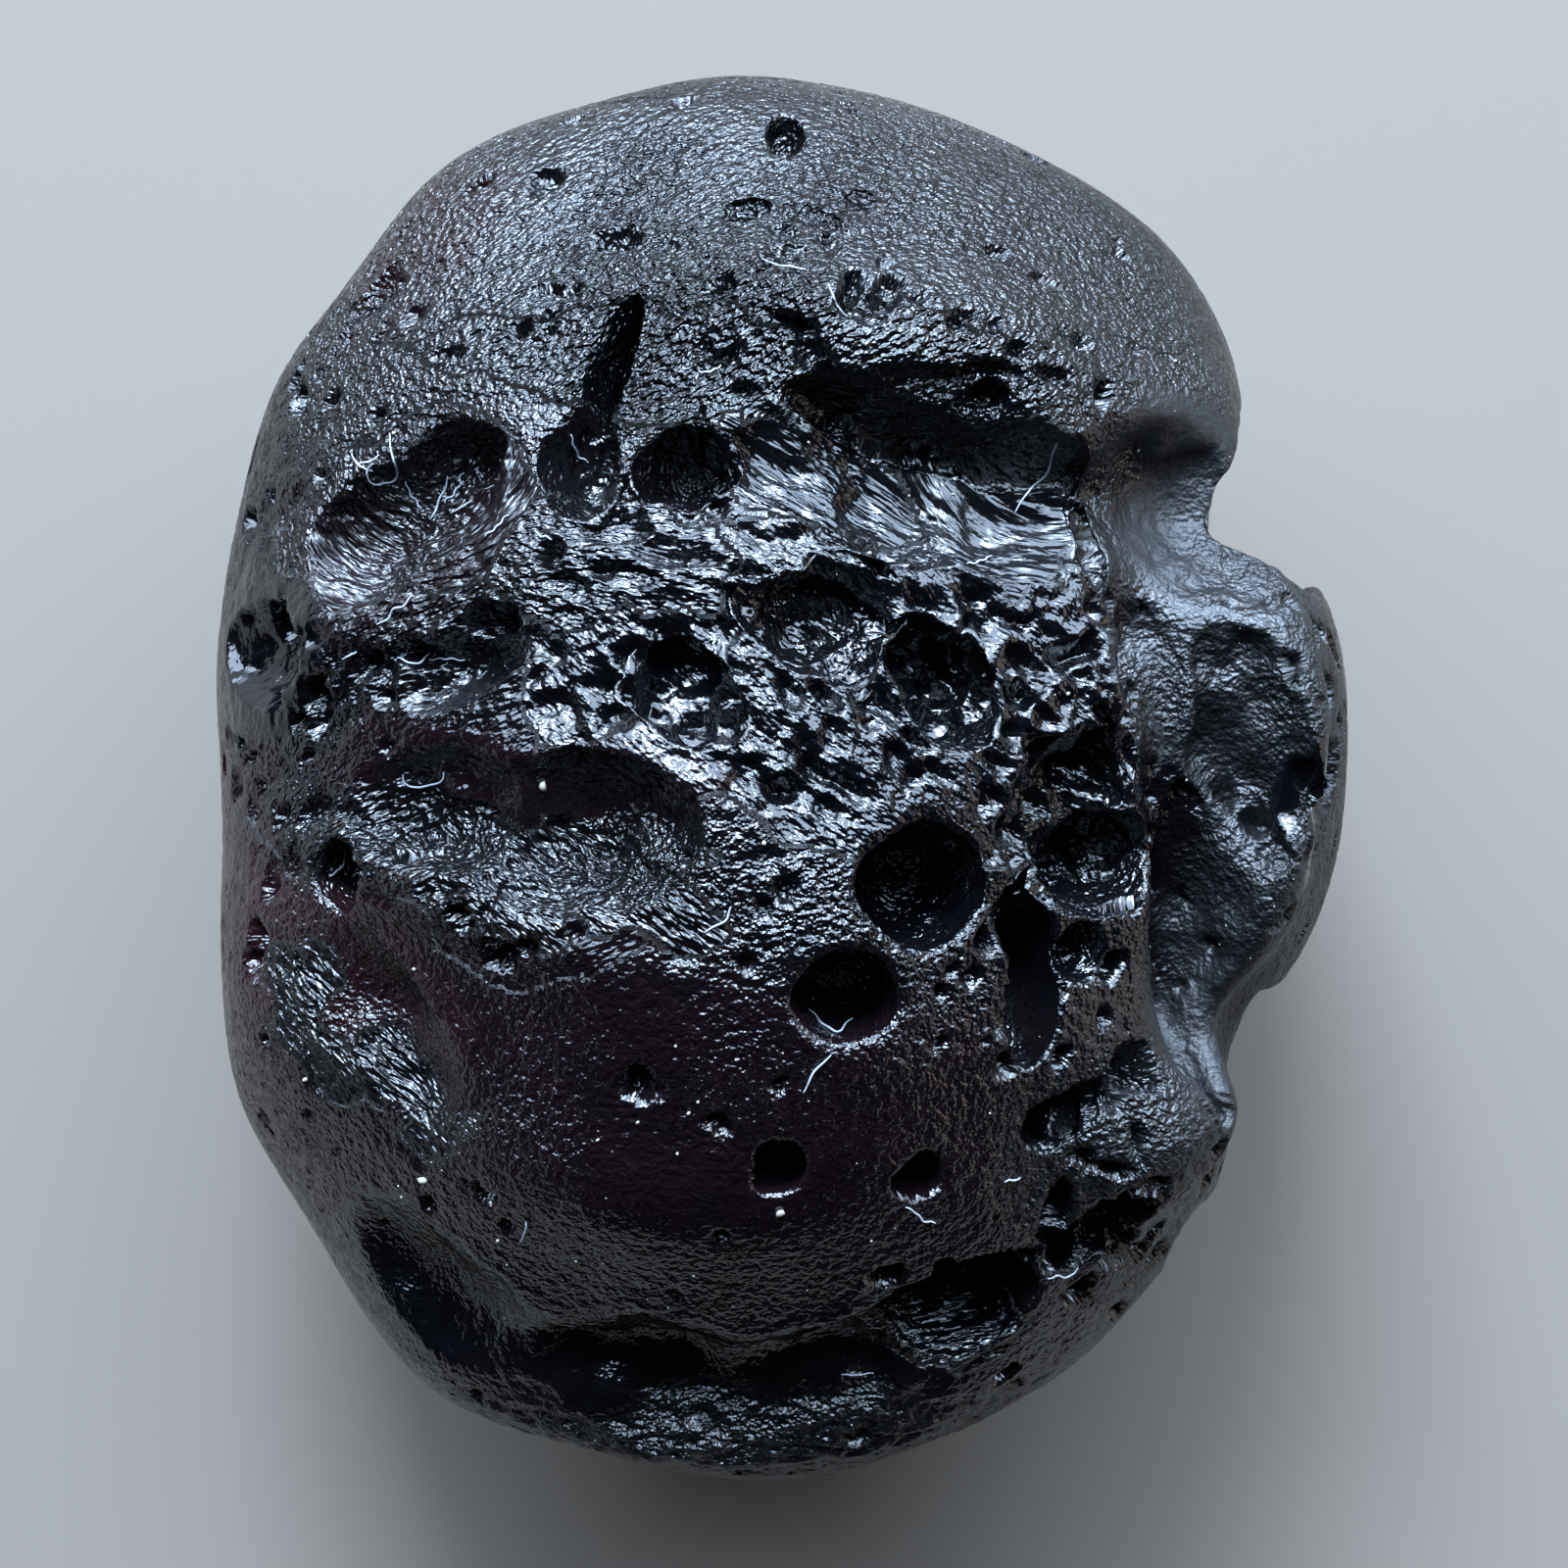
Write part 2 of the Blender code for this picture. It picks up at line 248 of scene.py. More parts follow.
@dataclass
class Form:
    """The exact form of the stone, in mm from the middle of its widest plane.

    outline is how far it reaches every outline_step degrees from east round by north,
    section_power how boxy its upright sections are, and rim_wander and rim_fray how far
    the edges of its hollows stray, in swells as far apart as the two spacings. side_normal
    is how level the form's normal is where a place counts as on the side.
    """

    front_rise: float = 11.4
    back_rise: float = 10.6
    flat_depth: float = 0.35
    section_power: float = 2.2
    outline_step: float = 15.0
    outline: tuple = (
        14.4, 14.8, 14.4, 16.0, 16.9, 17.3, 18.0, 18.0, 17.8, 16.8, 15.9, 14.9,
        14.5, 15.3, 16.1, 16.8, 18.1, 18.2, 18.1, 17.6, 16.5, 15.5, 13.9, 14.2,
    )
    lump_height: float = 0.30
    lump_spacing: float = 4.5
    side_normal: float = 0.6
    rim_wander: float = 0.26
    rim_fray: float = 0.16
    wander_spacing: float = 2.4
    fray_spacing: float = 0.9
    swells: list = field(default_factory=list)
    scoops: list = field(default_factory=list)

    def reach(self, bearing: np.ndarray) -> np.ndarray:
        """Reach of the outline, as a smooth closed curve through its given reaches.

        Args:
            bearing: Directions from the middle, in radians.

        Returns:
            The reach at each bearing, in mm.
        """
        ring = np.array(self.outline)
        at = np.degrees(bearing) % 360 / self.outline_step
        first = np.floor(at).astype(int)
        t = at - first
        before, start, end, after = (ring[(first + i) % len(ring)] for i in (-1, 0, 1, 2))
        slope_in, slope_out = (end - before) / 2, (after - start) / 2
        bend = 2 * start - 2 * end + slope_in + slope_out
        curve = -3 * start + 3 * end - 2 * slope_in - slope_out
        return ((bend * t + curve) * t + slope_in) * t + start

    def shrink(self, share: float) -> float:
        """What is left of a section's half axis where the other is at this share of its own."""
        return max(0.0, 1 - abs(share) ** self.section_power) ** (1 / self.section_power)

    def face(self, x: float, y: float, rise: float) -> np.ndarray:
        """A place on the face that stands this far out at the middle, in mm."""
        share = math.hypot(x, y) / float(self.reach(np.array(math.atan2(y, x))))
        return np.array((x, y, rise * self.shrink(share)))

    def front(self, x: float, y: float) -> np.ndarray:
        """A place on the face that looks up."""
        return self.face(x, y, self.front_rise)

    def back(self, x: float, y: float) -> np.ndarray:
        """A place on the face that the stone lies on."""
        return self.face(x, y, -self.back_rise)

    def rim(self, bearing_deg: float, z: float) -> np.ndarray:
        """A place on the stone's side.

        Args:
            bearing_deg: Its direction from the middle, in degrees from east.
            z: Its height from the widest plane.

        Returns:
            The place, in mm.
        """
        bearing = math.radians(bearing_deg)
        rise = self.front_rise if z >= 0 else self.back_rise
        out = float(self.reach(np.array(bearing))) * self.shrink(z / rise)
        return np.array((out * math.cos(bearing), out * math.sin(bearing), z))

    def shell(self, points: np.ndarray) -> tuple[np.ndarray, np.ndarray]:
        """How points stand to the plain boulder form.

        Args:
            points: Places, one row each, in mm.

        Returns:
            Each point's distance out of the form, and the direction in which it grows.
        """
        nudge = 0.01
        level = np.hypot(points[:, 0], points[:, 1]) + TINY
        bearing = np.arctan2(points[:, 1], points[:, 0])
        reach = self.reach(bearing)
        swing = (self.reach(bearing + nudge) - self.reach(bearing - nudge)) / (2 * nudge)
        rise = np.where(points[:, 2] >= 0, self.front_rise, self.back_rise)
        power = self.section_power
        share, height = level / reach, np.abs(points[:, 2]) / rise
        value = share**power + height**power - 1
        outward = power * share ** (power - 1) / reach
        around = -outward * swing / reach
        upward = power * height ** (power - 1) * np.sign(points[:, 2]) / rise
        east, north = points[:, 0] / level, points[:, 1] / level
        slope = np.stack((outward * east - around * north, outward * north + around * east, upward), axis=1)
        steepness = np.linalg.norm(slope, axis=1) + TINY
        return value / steepness, slope / steepness[:, None]

    def axes_at(self, spot: np.ndarray, turn: float) -> np.ndarray:
        """The directions that a swell or a scoop is laid out in.

        Args:
            spot: A place on the boulder form.
            turn: Heading of the length in degrees: in plan on a face, from level on a side.

        Returns:
            Directions along, across and out of the form, as rows.
        """
        normal = self.shell(spot[None, :])[1][0]
        bearing = math.radians(turn)
        heading = np.array((math.cos(bearing), math.sin(bearing), 0.0))
        if abs(normal[2]) < self.side_normal:
            level = np.array((-normal[1], normal[0], 0.0))
            level /= np.linalg.norm(level)
            heading = level * math.cos(bearing) + np.array((0, 0, math.sin(bearing)))
        along = heading - normal * heading.dot(normal)
        along /= np.linalg.norm(along)
        return np.stack((along, np.cross(normal, along), normal))

    def swell_height(self, points: np.ndarray) -> np.ndarray:
        """How far the surface stands out of the boulder form.

        Args:
            points: Places, one row each, in mm.

        Returns:
            A height for each point, in mm.
        """
        cells = (points / self.lump_spacing).tolist()
        lumps = np.array([noise.noise(cell, noise_basis="PERLIN_ORIGINAL") for cell in cells])
        height = lumps * self.lump_height
        for swell in self.swells:
            local = (points - swell.spot) @ self.axes_at(swell.spot, swell.turn).T
            sizes = np.array((swell.length, swell.width, swell.length)) / 2
            height = height + swell.height * np.exp(-((local / sizes) ** 2).sum(axis=1))
        return height

    def placed_scoops(self) -> list:
        """Works out the ellipsoid that each scoop is part of.

        Returns:
            Each scoop with its ellipsoid's middle, directions and half axes.
        """
        placed = []
        for scoop in self.scoops:
            mouth = math.sqrt(1 - scoop.dish**2)
            sizes = (scoop.length / 2 / mouth, scoop.width / 2 / mouth, scoop.depth / (1 - scoop.dish))
            radii = np.array(sizes)
            axes = self.axes_at(scoop.spot, scoop.turn)
            lift = float(self.swell_height(scoop.spot[None, :])[0])
            middle = scoop.spot + axes[2] * (lift + radii[2] * scoop.dish)
            placed.append((scoop, middle, axes, radii))
        return placed

    def settle(self, points: np.ndarray, rounds: int = 5, longest: float = 0.3) -> np.ndarray:
        """Moves points that are near the form's surface onto it.

        Args:
            points: Places, one row each, in mm.
            rounds: How many steps to take.
            longest: The furthest that one step goes, in mm.

        Returns:
            The moved points.
        """
        # Room round a scoop for its wandering edge, and a floor under the steepness of a crease.
        margin = 1.2
        crease = 0.05
        # How ragged a full bowl's edge is, how much its dish adds to that, and the most it comes to.
        full_bowl, by_dish, most = 0.75, 1.5, 1.15
        lift = self.swell_height(points)
        wander = wave(points, self.wander_spacing, Seed.RIMS, 3) * self.rim_wander
        wander = wander + wave(points, self.fray_spacing, Seed.RIM_FRAY, 3) * self.rim_fray
        placed = self.placed_scoops()
        nearby = []
        for _, middle, _, radii in placed:
            far = ((points - middle) ** 2).sum(axis=1)
            nearby.append(np.nonzero(far < (radii.max() + margin) ** 2)[0])
        for _ in range(rounds):
            ground, slope = self.shell(points)
            ground = ground - lift
            for (scoop, middle, axes, radii), near in zip(placed, nearby):
                # Shallow hollows have more ragged edges than the full bowls of bubbles.
                ragged = min(most, full_bowl + by_dish * scoop.dish)
                local = (points[near] + wander[near] * ragged - middle) @ axes.T
                share = np.sqrt(((local / radii) ** 2).sum(axis=1)) + TINY
                facing = local / radii**2
                steepness = np.linalg.norm(facing, axis=1) + TINY
                inside = -share * (share - 1) / steepness
                blend = np.clip(0.5 + (inside - ground[near]) / (2 * scoop.edge), 0, 1)
                rounding = scoop.edge * blend * (1 - blend)
                ground[near] += (inside - ground[near]) * blend + rounding
                inward = -(facing / steepness[:, None]) @ axes
                slope[near] += (inward - slope[near]) * blend[:, None]
            steepness = (slope**2).sum(axis=1) + crease
            step = np.clip(-ground / steepness, -longest, longest)
            points = points + slope * step[:, None]
        return points


class Flow(Enum):
    """How the melt ran under a patch of skin, which the pits and flow lines follow."""

    STILL = "still"
    STRAIGHT = "straight"
    SWIRL = "swirl"


@dataclass(frozen=True)
class Patch:
    """A part of the skin, as an oval in plan, with a texture of its own. Sizes are in mm.

    soft is how wide its edge is, and side is 1 on the front and -1 on the back. The melt runs
    on a heading, or round an eye, and stretch is how far the pits are drawn out along it. foam
    is how strongly bubbles have pitted the patch, striae how deep its flow lines are, and grit
    how rough it is between them. satin is how far it is smoothed to a satin skin, and maroon
    how much of the melt's red shows.
    """

    name: str
    x: float
    y: float
    length: float
    width: float
    turn: float = 0.0
    soft: float = 0.35
    side: int = 1
    flow: Flow = Flow.STILL
    heading: float = 0.0
    eye: tuple | None = None
    stretch: float = 1.0
    foam: float = 0.3
    striae: float = 0.0
    grit: float = 0.6
    satin: float = 0.0
    maroon: float = 0.0


TRAITS = ("foam", "striae", "grit", "satin", "maroon")


@dataclass(frozen=True)
class Pit:
    """A small pit pressed into the front: its place, mouth and depth in mm."""

    x: float
    y: float
    length: float
    width: float
    depth: float
    turn: float = 0.0


@dataclass(frozen=True)
class Bubbles:
    """Burst bubbles of one size, in cells of a spacing in mm.

    The share of the cells that hold one is the foam trait times gain, less spare, and steep
    is a bubble's depth as a share of its radius.
    """

    spacing: float
    seed: Seed
    gain: float
    spare: float
    steep: float

    def depth(self, places: np.ndarray, foam: np.ndarray) -> np.ndarray:
        """Depth of the bubbles at each place, in mm."""
        return bowls(places, self.spacing, self.seed, foam * self.gain - self.spare, self.steep)


@dataclass
class Skin:
    """The stone's fine surface: the remeshed form with its foam, pits and flow lines.

    Sizes are in mm. edge_wander and edge_fray are how far the patches' edges stray, and
    pit_wander and pit_fray how far the pits' do. The foam is made of bubbles and pores
    between crumbs, a net and a fray, and the flow lines of lines and hairs: each of those is
    as far apart as its value says, and as deep as its depth. draw is what places along the
    flow are multiplied by, which makes the lines longer than they are apart. swirl_turn is
    the length, in mm, that a radian round a swirl's eye counts for.
    """

    form: Form
    voxel: float = 0.11
    patches: list = field(default_factory=list)
    pits: list = field(default_factory=list)
    bands: int = 4
    edge_wander: float = 0.9
    edge_fray: float = 0.35
    pit_wander: float = 0.30
    pit_fray: float = 0.10
    pit_roundness: float = 0.8
    bubbles: Bubbles = Bubbles(1.30, Seed.BUBBLES, gain=0.65, spare=0.09, steep=1.1)
    pores: Bubbles = Bubbles(0.70, Seed.PORES, gain=0.95, spare=0.07, steep=1.2)
    crumbs: float = 0.85
    crumb_depth: float = 0.22
    net: float = 0.45
    net_depth: float = 0.10
    fray: float = 0.26
    fray_depth: float = 0.04
    foam_fray_depth: float = 0.08
    foam_bend: float = 0.22
    lines: float = 0.34
    line_depth: float = 0.16
    hairs: float = 0.19
    hair_depth: float = 0.08
    flow_bend: float = 0.15
    draw: float = 0.35
    swirl_turn: float = 4.0

    def rough_mesh(self) -> bpy.types.Object:
        """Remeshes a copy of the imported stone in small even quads.

        Returns:
            The copy, linked to the scene.
        """
        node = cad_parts["tektite"]
        stone = node.copy()
        stone.data = node.data.copy()
        bpy.context.scene.collection.objects.link(stone)
        stone.parent = None
        remesh = stone.modifiers.new("melt", "REMESH")
        remesh.mode = "VOXEL"
        remesh.voxel_size = self.voxel * MM
        depsgraph = bpy.context.evaluated_depsgraph_get()
        mesh = bpy.data.meshes.new_from_object(stone.evaluated_get(depsgraph))
        bpy.data.objects.remove(stone)
        return linked("rough", mesh)

    def weights(self, points: np.ndarray) -> tuple[dict, list]:
        """Lays the patches over the mottled skin that the stone has elsewhere.

        Args:
            points: Places, one row each, in mm.

        Returns:
            Each trait at each point, and how much each patch counts there.
        """
        # How far apart the swells of each pattern are.
        edges, frays, mottles, patchiness = 2.2, 0.7, 5.0, 2.4
        wander = wave(points, edges, Seed.PATCH_EDGES, 2) * self.edge_wander
        wander = wander + wave(points, frays, Seed.PATCH_FRAY, 2) * self.edge_fray
        mottle = wave(points, mottles, Seed.MOTTLE, len(TRAITS)) * 0.5 + 0.5
        start = {
            "foam": 0.06 + 0.30 * mottle[:, 0],
            "striae": 0.15 * mottle[:, 1],
            "grit": 0.35 + 0.4 * mottle[:, 2],
            "satin": 0.6 * smooth(0.55, 0.9, mottle[:, 3]),
            "maroon": 0.15 * mottle[:, 4],
        }
        traits = {name: start[name].astype(np.float32) for name in TRAITS}
        shares = []
        for patch in self.patches:
            east = points[:, 0] - patch.x + wander[:, 0]
            north = points[:, 1] - patch.y + wander[:, 1]
            along, across = plan_axes(east, north, patch.turn)
            out = np.hypot(along / (patch.length / 2), across / (patch.width / 2))
            share = 1 - smooth(1 - patch.soft, 1 + patch.soft, out)
            # A patch fades out round the widest plane.
            share = share * smooth(-1.0, 2.0, points[:, 2] * patch.side)
            for name in TRAITS:
                traits[name] += (getattr(patch, name) - traits[name]) * share
            shares.append(share)
        patchy = np.clip(wave(points, patchiness, Seed.PATCHINESS, 2) * 0.8 + 0.5, 0, 1)
        # The foam is rubbed down round the widest plane.
        rubbed = 0.4 + 0.6 * smooth(0.5, 5.0, np.abs(points[:, 2]))
        traits["foam"] *= rubbed * (0.6 + 0.8 * patchy[:, 0])
        traits["grit"] *= 0.65 + 0.6 * patchy[:, 1]
        return traits, shares

    def flow_places(self, points: np.ndarray, patch: Patch) -> np.ndarray:
        """Places as the melt's flow in a patch sees them.

        Args:
            points: Places, one row each, in mm.
            patch: The patch.

        Returns:
            Places along the flow, drawn in by its stretch, across it, and up.
        """
        middle = patch.eye or (patch.x, patch.y)
        east, north = points[:, 0] - middle[0], points[:, 1] - middle[1]
        if patch.flow is Flow.SWIRL:
            along = np.arctan2(north, east) * self.swirl_turn
            across = np.hypot(east, north)
        else:
            along, across = plan_axes(east, north, patch.heading)
        return np.stack((along / patch.stretch, across, points[:, 2]), axis=1)

    def grain(self, points: np.ndarray, shares: list) -> np.ndarray:
        """Places for the material's fine textures, drawn out along the flow.

        Args:
            points: Places, one row each, in mm.
            shares: How much each patch counts at each point.

        Returns:
            Places in the axes of the strongest patch that flows, where one counts for over half.
        """
        places = points.copy()
        strongest = np.full(len(points), 0.5)
        for patch, share in zip(self.patches, shares):
            if patch.flow is Flow.STILL:
                continue
            won = share > strongest
            places[won] = self.flow_places(points[won], patch)
            strongest[won] = share[won]
        return places

    def foam_depth(self, places: np.ndarray, foam: np.ndarray) -> np.ndarray:
        """Depth of the burst bubbles and the crumbled glass between them.

        Args:
            places: Places in the flow's own axes.
            foam: The foam trait there.

        Returns:
            A depth for each place, in mm.
        """
        bend_spacing = 0.7
        bent = places + wave(places, bend_spacing, Seed.FOAM_BEND, 3) * self.foam_bend
        holes = np.maximum(self.bubbles.depth(bent, foam), self.pores.depth(bent, foam))
        crumbs = creases(bent, self.crumbs, Seed.CRUMBS) * self.crumb_depth * foam**2
        net = creases(bent, self.net, Seed.NET) * self.net_depth * foam**1.5
        fray = creases(bent, self.fray, Seed.FRAY) * (self.fray_depth + self.foam_fray_depth * foam)
        return holes + crumbs + net + fray

    def striae_depth(self, places: np.ndarray) -> np.ndarray:
        """Depth of the flow lines.

        Args:
            places: Places in the flow's own axes.

        Returns:
            A depth for each place, in mm.
        """
        bend_spacing = 1.6
        bend = wave(places, bend_spacing, Seed.FLOW_BEND, 3) * self.flow_bend
        drawn = places * (self.draw, 1.0, 1.0) + bend
        lines = 1 - creases(drawn, self.lines, Seed.LINES)
        hairs = 1 - creases(drawn, self.hairs, Seed.HAIRS)
        return self.line_depth * lines**2 + self.hair_depth * hairs**2

    def depth(self, points: np.ndarray, traits: dict, shares: list) -> np.ndarray:
        """How deep the skin is etched.

        Args:
            points: Places, one row each, in mm.
            traits: Each trait at each point.
            shares: How much each patch counts at each point.

        Returns:
            A depth for each point, in mm.
        """
        total = self.foam_depth(points, traits["foam"])
        lines = self.striae_depth(points)
        for patch, share in zip(self.patches, shares):
            if patch.flow is Flow.STILL:
                continue
            there = share > 0.01
            places = self.flow_places(points[there], patch)
            mine = self.foam_depth(places, traits["foam"][there])
            total[there] += (mine - total[there]) * share[there]
            lines[there] += (self.striae_depth(places) - lines[there]) * share[there]
        total = total * (1 - 0.5 * traits["striae"]) + lines * traits["striae"]
        for pit in self.pits:
            total = np.maximum(total, self.pit_depth(points, pit))
        return total

    def pit_depth(self, points: np.ndarray, pit: Pit) -> np.ndarray:
        """Depth of one listed pit.

        Args:
            points: Places, one row each, in mm.
            pit: The pit.

        Returns:
            A depth for each point, in mm, 0 outside the pit.
        """
        rims, frays = 0.9, 0.5
        wander = wave(points, rims, Seed.PIT_RIMS, 2) * self.pit_wander
        wander = wander + wave(points, frays, Seed.PIT_FRAY, 2) * self.pit_fray
        east, north = points[:, 0] - pit.x + wander[:, 0], points[:, 1] - pit.y + wander[:, 1]
        along, across = plan_axes(east, north, pit.turn)
        along, across = along / (pit.length / 2), across / (pit.width / 2)
        bowl = np.clip(1 - along**2 - across**2, 0, 1) ** self.pit_roundness
        return np.where(points[:, 2] > 0, bowl * pit.depth, 0)

    def build(self) -> list:
        """Remeshes the stone, settles it on its form and etches it.

        Returns:
            The skin's bands, which meet without a seam.
        """
        clock = time.time()
        rough = self.rough_mesh()
        mesh = rough.data
        level = (self.form.back_rise - self.form.flat_depth) * MM
        points = (rows(mesh.vertices, "co").astype(np.float64) - (0, 0, level)) / MM
        log.info("remeshed to %d points in %.1f s", len(points), time.time() - clock)
        points = self.form.settle(points)
        self.store(mesh, points, level)
        log.info("settled at %.1f s", time.time() - clock)
        normals = rows(mesh.vertex_normals, "vector")
        traits, shares = self.weights(points)
        depth = self.depth(points, traits, shares)
        places = self.grain(points, shares)
        points = points - normals * depth[:, None]
        self.store(mesh, points, level)
        log.info("etched at %.1f s", time.time() - clock)
        pieces = self.split(mesh, traits, places)
        bpy.data.objects.remove(rough)
        log.info("split at %.1f s", time.time() - clock)
        return pieces

    def store(self, mesh: bpy.types.Mesh, points: np.ndarray, level: float) -> None:
        """Writes points back to the mesh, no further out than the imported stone.

        Args:
            mesh: The mesh.
            points: Its new places, in mm from the middle of the widest plane.
            level: Height of that plane over the ground, in metres.
        """
        low, high = CAD_BOX
        placed = np.clip(points * MM + (0, 0, level), low, high)
        mesh.vertices.foreach_set("co", placed.astype(np.float32).ravel())
        mesh.update()

    def split(self, mesh: bpy.types.Mesh, traits: dict, places: np.ndarray) -> list:
        """Parts the fine mesh into bands from south to north, each small enough to share.

        Args:
            mesh: The whole fine mesh, all quads.
            traits: Each trait at each vertex.
            places: Where the material's textures are read, at each vertex.

        Returns:
            The bands.
        """
        count = len(mesh.polygons)
        corners = np.empty(len(mesh.loops), np.int32)
        mesh.loops.foreach_get("vertex_index", corners)
        faces = corners.reshape(count, -1)
        points = rows(mesh.vertices, "co")
        normals = rows(mesh.vertex_normals, "vector")
        order = np.argsort(points[faces[:, 0], 1], kind="stable")
        pieces = []
        for number, chosen in enumerate(np.array_split(order, self.bands)):
            used, local = np.unique(faces[chosen], return_inverse=True)
            band = bpy.data.meshes.new("skin")
            band.from_pydata(points[used].tolist(), [], local.reshape(len(chosen), -1).tolist())
            band.polygons.foreach_set("use_smooth", np.ones(len(chosen), bool))
            band.normals_split_custom_set_from_vertices(normals[used])
            for name in TRAITS:
                layer = band.attributes.new(name, "FLOAT", "POINT")
                layer.data.foreach_set("value", traits[name][used].astype(np.float32))
            layer = band.attributes.new("grain", "FLOAT_VECTOR", "POINT")
            layer.data.foreach_set("vector", places[used].astype(np.float32).ravel())
            pieces.append(linked(f"stone_band_{number + 1}", band))
        return pieces


def linear(hex_code: str) -> tuple:
    """Turns a colour to the values that the shaders take.

    Args:
        hex_code: The colour in sRGB, such as "#8e929a".

    Returns:
        Linear red, green, blue and alpha.
    """
    channels = []
    for at in (1, 3, 5):
        value = int(hex_code[at:at + 2], 16) / 255
        channels.append(value / 12.92 if value <= 0.04045 else ((value + 0.055) / 1.055) ** 2.4)
    return (*channels, 1.0)


class NodeTree:
    """A material's nodes, added one at a time with their settings and links."""

    def __init__(self, name: str) -> None:
        """Starts a material.

        Args:
            name: The material's name.
        """
        self.material = bpy.data.materials.new(name)
        self.material.use_nodes = True
        self.nodes = self.material.node_tree.nodes
        self.links = self.material.node_tree.links
        self.shader = self.nodes["Principled BSDF"]

    def add(self, kind: str, settings: dict | None = None, **inputs: object) -> bpy.types.Node:
        """Adds a node.

        Args:
            kind: The node's type, such as ShaderNodeMix.
            settings: Properties of the node to set.
            inputs: Sockets by name or i0, i1 and so on: a value, or a socket to link from.

        Returns:
            The node.
        """
        node = self.nodes.new(kind)
        for key, value in (settings or {}).items():
            setattr(node, key, value)
        for key, value in inputs.items():
            socket = node.inputs[int(key[1:])] if key[1:].isdigit() else node.inputs[key]
            self.feed(socket, value)
        return node

    def feed(self, socket: bpy.types.NodeSocket, value: object) -> None:
        """Links a socket, or sets its value.

        Args:
            socket: The socket.
            value: A value, or a socket to link from.
        """
        if isinstance(value, bpy.types.NodeSocket):
            self.links.new(value, socket)
        else:
            socket.default_value = value

    def trait(self, name: str) -> bpy.types.NodeSocket:
        """A number that each point of the mesh holds."""
        return self.add("ShaderNodeAttribute", {"attribute_name": name}).outputs["Fac"]

    def math(self, operation: str, *values: object) -> bpy.types.NodeSocket:
        """Arithmetic on numbers."""
        inputs = {f"i{at}": value for at, value in enumerate(values)}
        return self.add("ShaderNodeMath", {"operation": operation}, **inputs).outputs[0]


@dataclass(frozen=True)
class TektiteGlass:
    """Natural silica glass, black in the lump, its skin etched by soil water to a sparkling satin.

    Fresh glass gives hard small glints, the etched grain breaks them into sparkle with black
    gaps, and worn ground goes to an even grey satin. Thin edges show a maroon. The grain of a
    real etched skin is under 0.05 mm; grit_mm is coarser than that, so that it shows.

    glossy, etched and matte are roughnesses. clouds_per_mm is how close the maroon's clouds
    stand, worn_from and worn_to are the part of the grain that goes from fresh to etched, and
    wear is how fast the grit trait brings that in.
    """

    black: str = "#040406"
    red: str = "#2c1114"
    ior: float = 1.51
    glossy: float = 0.12
    etched: float = 0.20
    matte: float = 0.56
    grit_mm: float = 0.17
    grit_height: float = 0.27
    clouds_per_mm: float = 0.9
    worn_from: float = 0.3
    worn_to: float = 0.7
    wear: float = 1.4

    def build(self) -> bpy.types.Material:
        """Builds the material from the traits that the skin's points hold.

        Returns:
            The material.
        """
        tree = NodeTree("etched_tektite_glass")
        place = tree.add("ShaderNodeAttribute", {"attribute_name": "grain"}).outputs["Vector"]
        grit = tree.trait("grit")
        satin = tree.trait("satin")
        maroon = tree.trait("maroon")
        clouds = tree.add(
            "ShaderNodeTexNoise", None, Vector=place, Scale=self.clouds_per_mm, Detail=4.0, Roughness=0.6,
        )
        colour = tree.add(
            "ShaderNodeMix", {"data_type": "RGBA"},
            i0=tree.math("MULTIPLY", maroon, clouds.outputs["Fac"]),
            i6=linear(self.black), i7=linear(self.red),
        )
        rough_grain = tree.add(
            "ShaderNodeTexNoise", None, Vector=place, Scale=1 / self.grit_mm / 2, Detail=3.0,
        ).outputs["Fac"]
        worn = tree.add(
            "ShaderNodeMapRange", None, i0=rough_grain, i1=self.worn_from, i2=self.worn_to,
        ).outputs[0]
        gritty = tree.math("MINIMUM", tree.math("MULTIPLY", grit, self.wear), 1.0)
        share = tree.math("MULTIPLY", worn, gritty)
        roughness = tree.math("MULTIPLY_ADD", share, self.etched - self.glossy, self.glossy)
        even = tree.add("ShaderNodeMix", None, i0=satin, i2=roughness, i3=self.matte).outputs[0]
        height = tree.add(
            "ShaderNodeTexNoise", None, Vector=place, Scale=1 / self.grit_mm, Detail=1.5, Roughness=0.6,
        ).outputs["Fac"]
        bump = tree.add(
            "ShaderNodeBump", None, Strength=grit, Distance=self.grit_height * MM, Height=height,
        ).outputs["Normal"]
        shader = tree.shader
        tree.feed(shader.inputs["Base Color"], colour.outputs[2])
        tree.feed(shader.inputs["Roughness"], even)
        tree.feed(shader.inputs["Normal"], bump)
        shader.inputs["IOR"].default_value = self.ior
        return tree.material


class Ground:
    """The finished skin, as something that small things can be laid on."""

    # Height that the skin is measured from, in metres, far above the stone.
    start: float = 1.0

    def __init__(self, pieces: list) -> None:
        """Makes the pieces ready to be measured.

        Args:
            pieces: The skin's bands.
        """
        depsgraph = bpy.context.evaluated_depsgraph_get()
        self.trees = [BVHTree.FromObject(piece, depsgraph) for piece in pieces]

    def height(self, x: float, y: float) -> float:
        """Measures the skin from above.

        Args:
            x: Place to the east, in mm.
            y: Place to the north, in mm.

        Returns:
            Height of the highest skin there, in mm, or 0 beside the stone.
        """
        above = Vector((x * MM, y * MM, self.start))
        hits = [tree.ray_cast(above, Vector((0, 0, -1)))[0] for tree in self.trees]
        return max((hit.z / MM for hit in hits if hit), default=0.0)


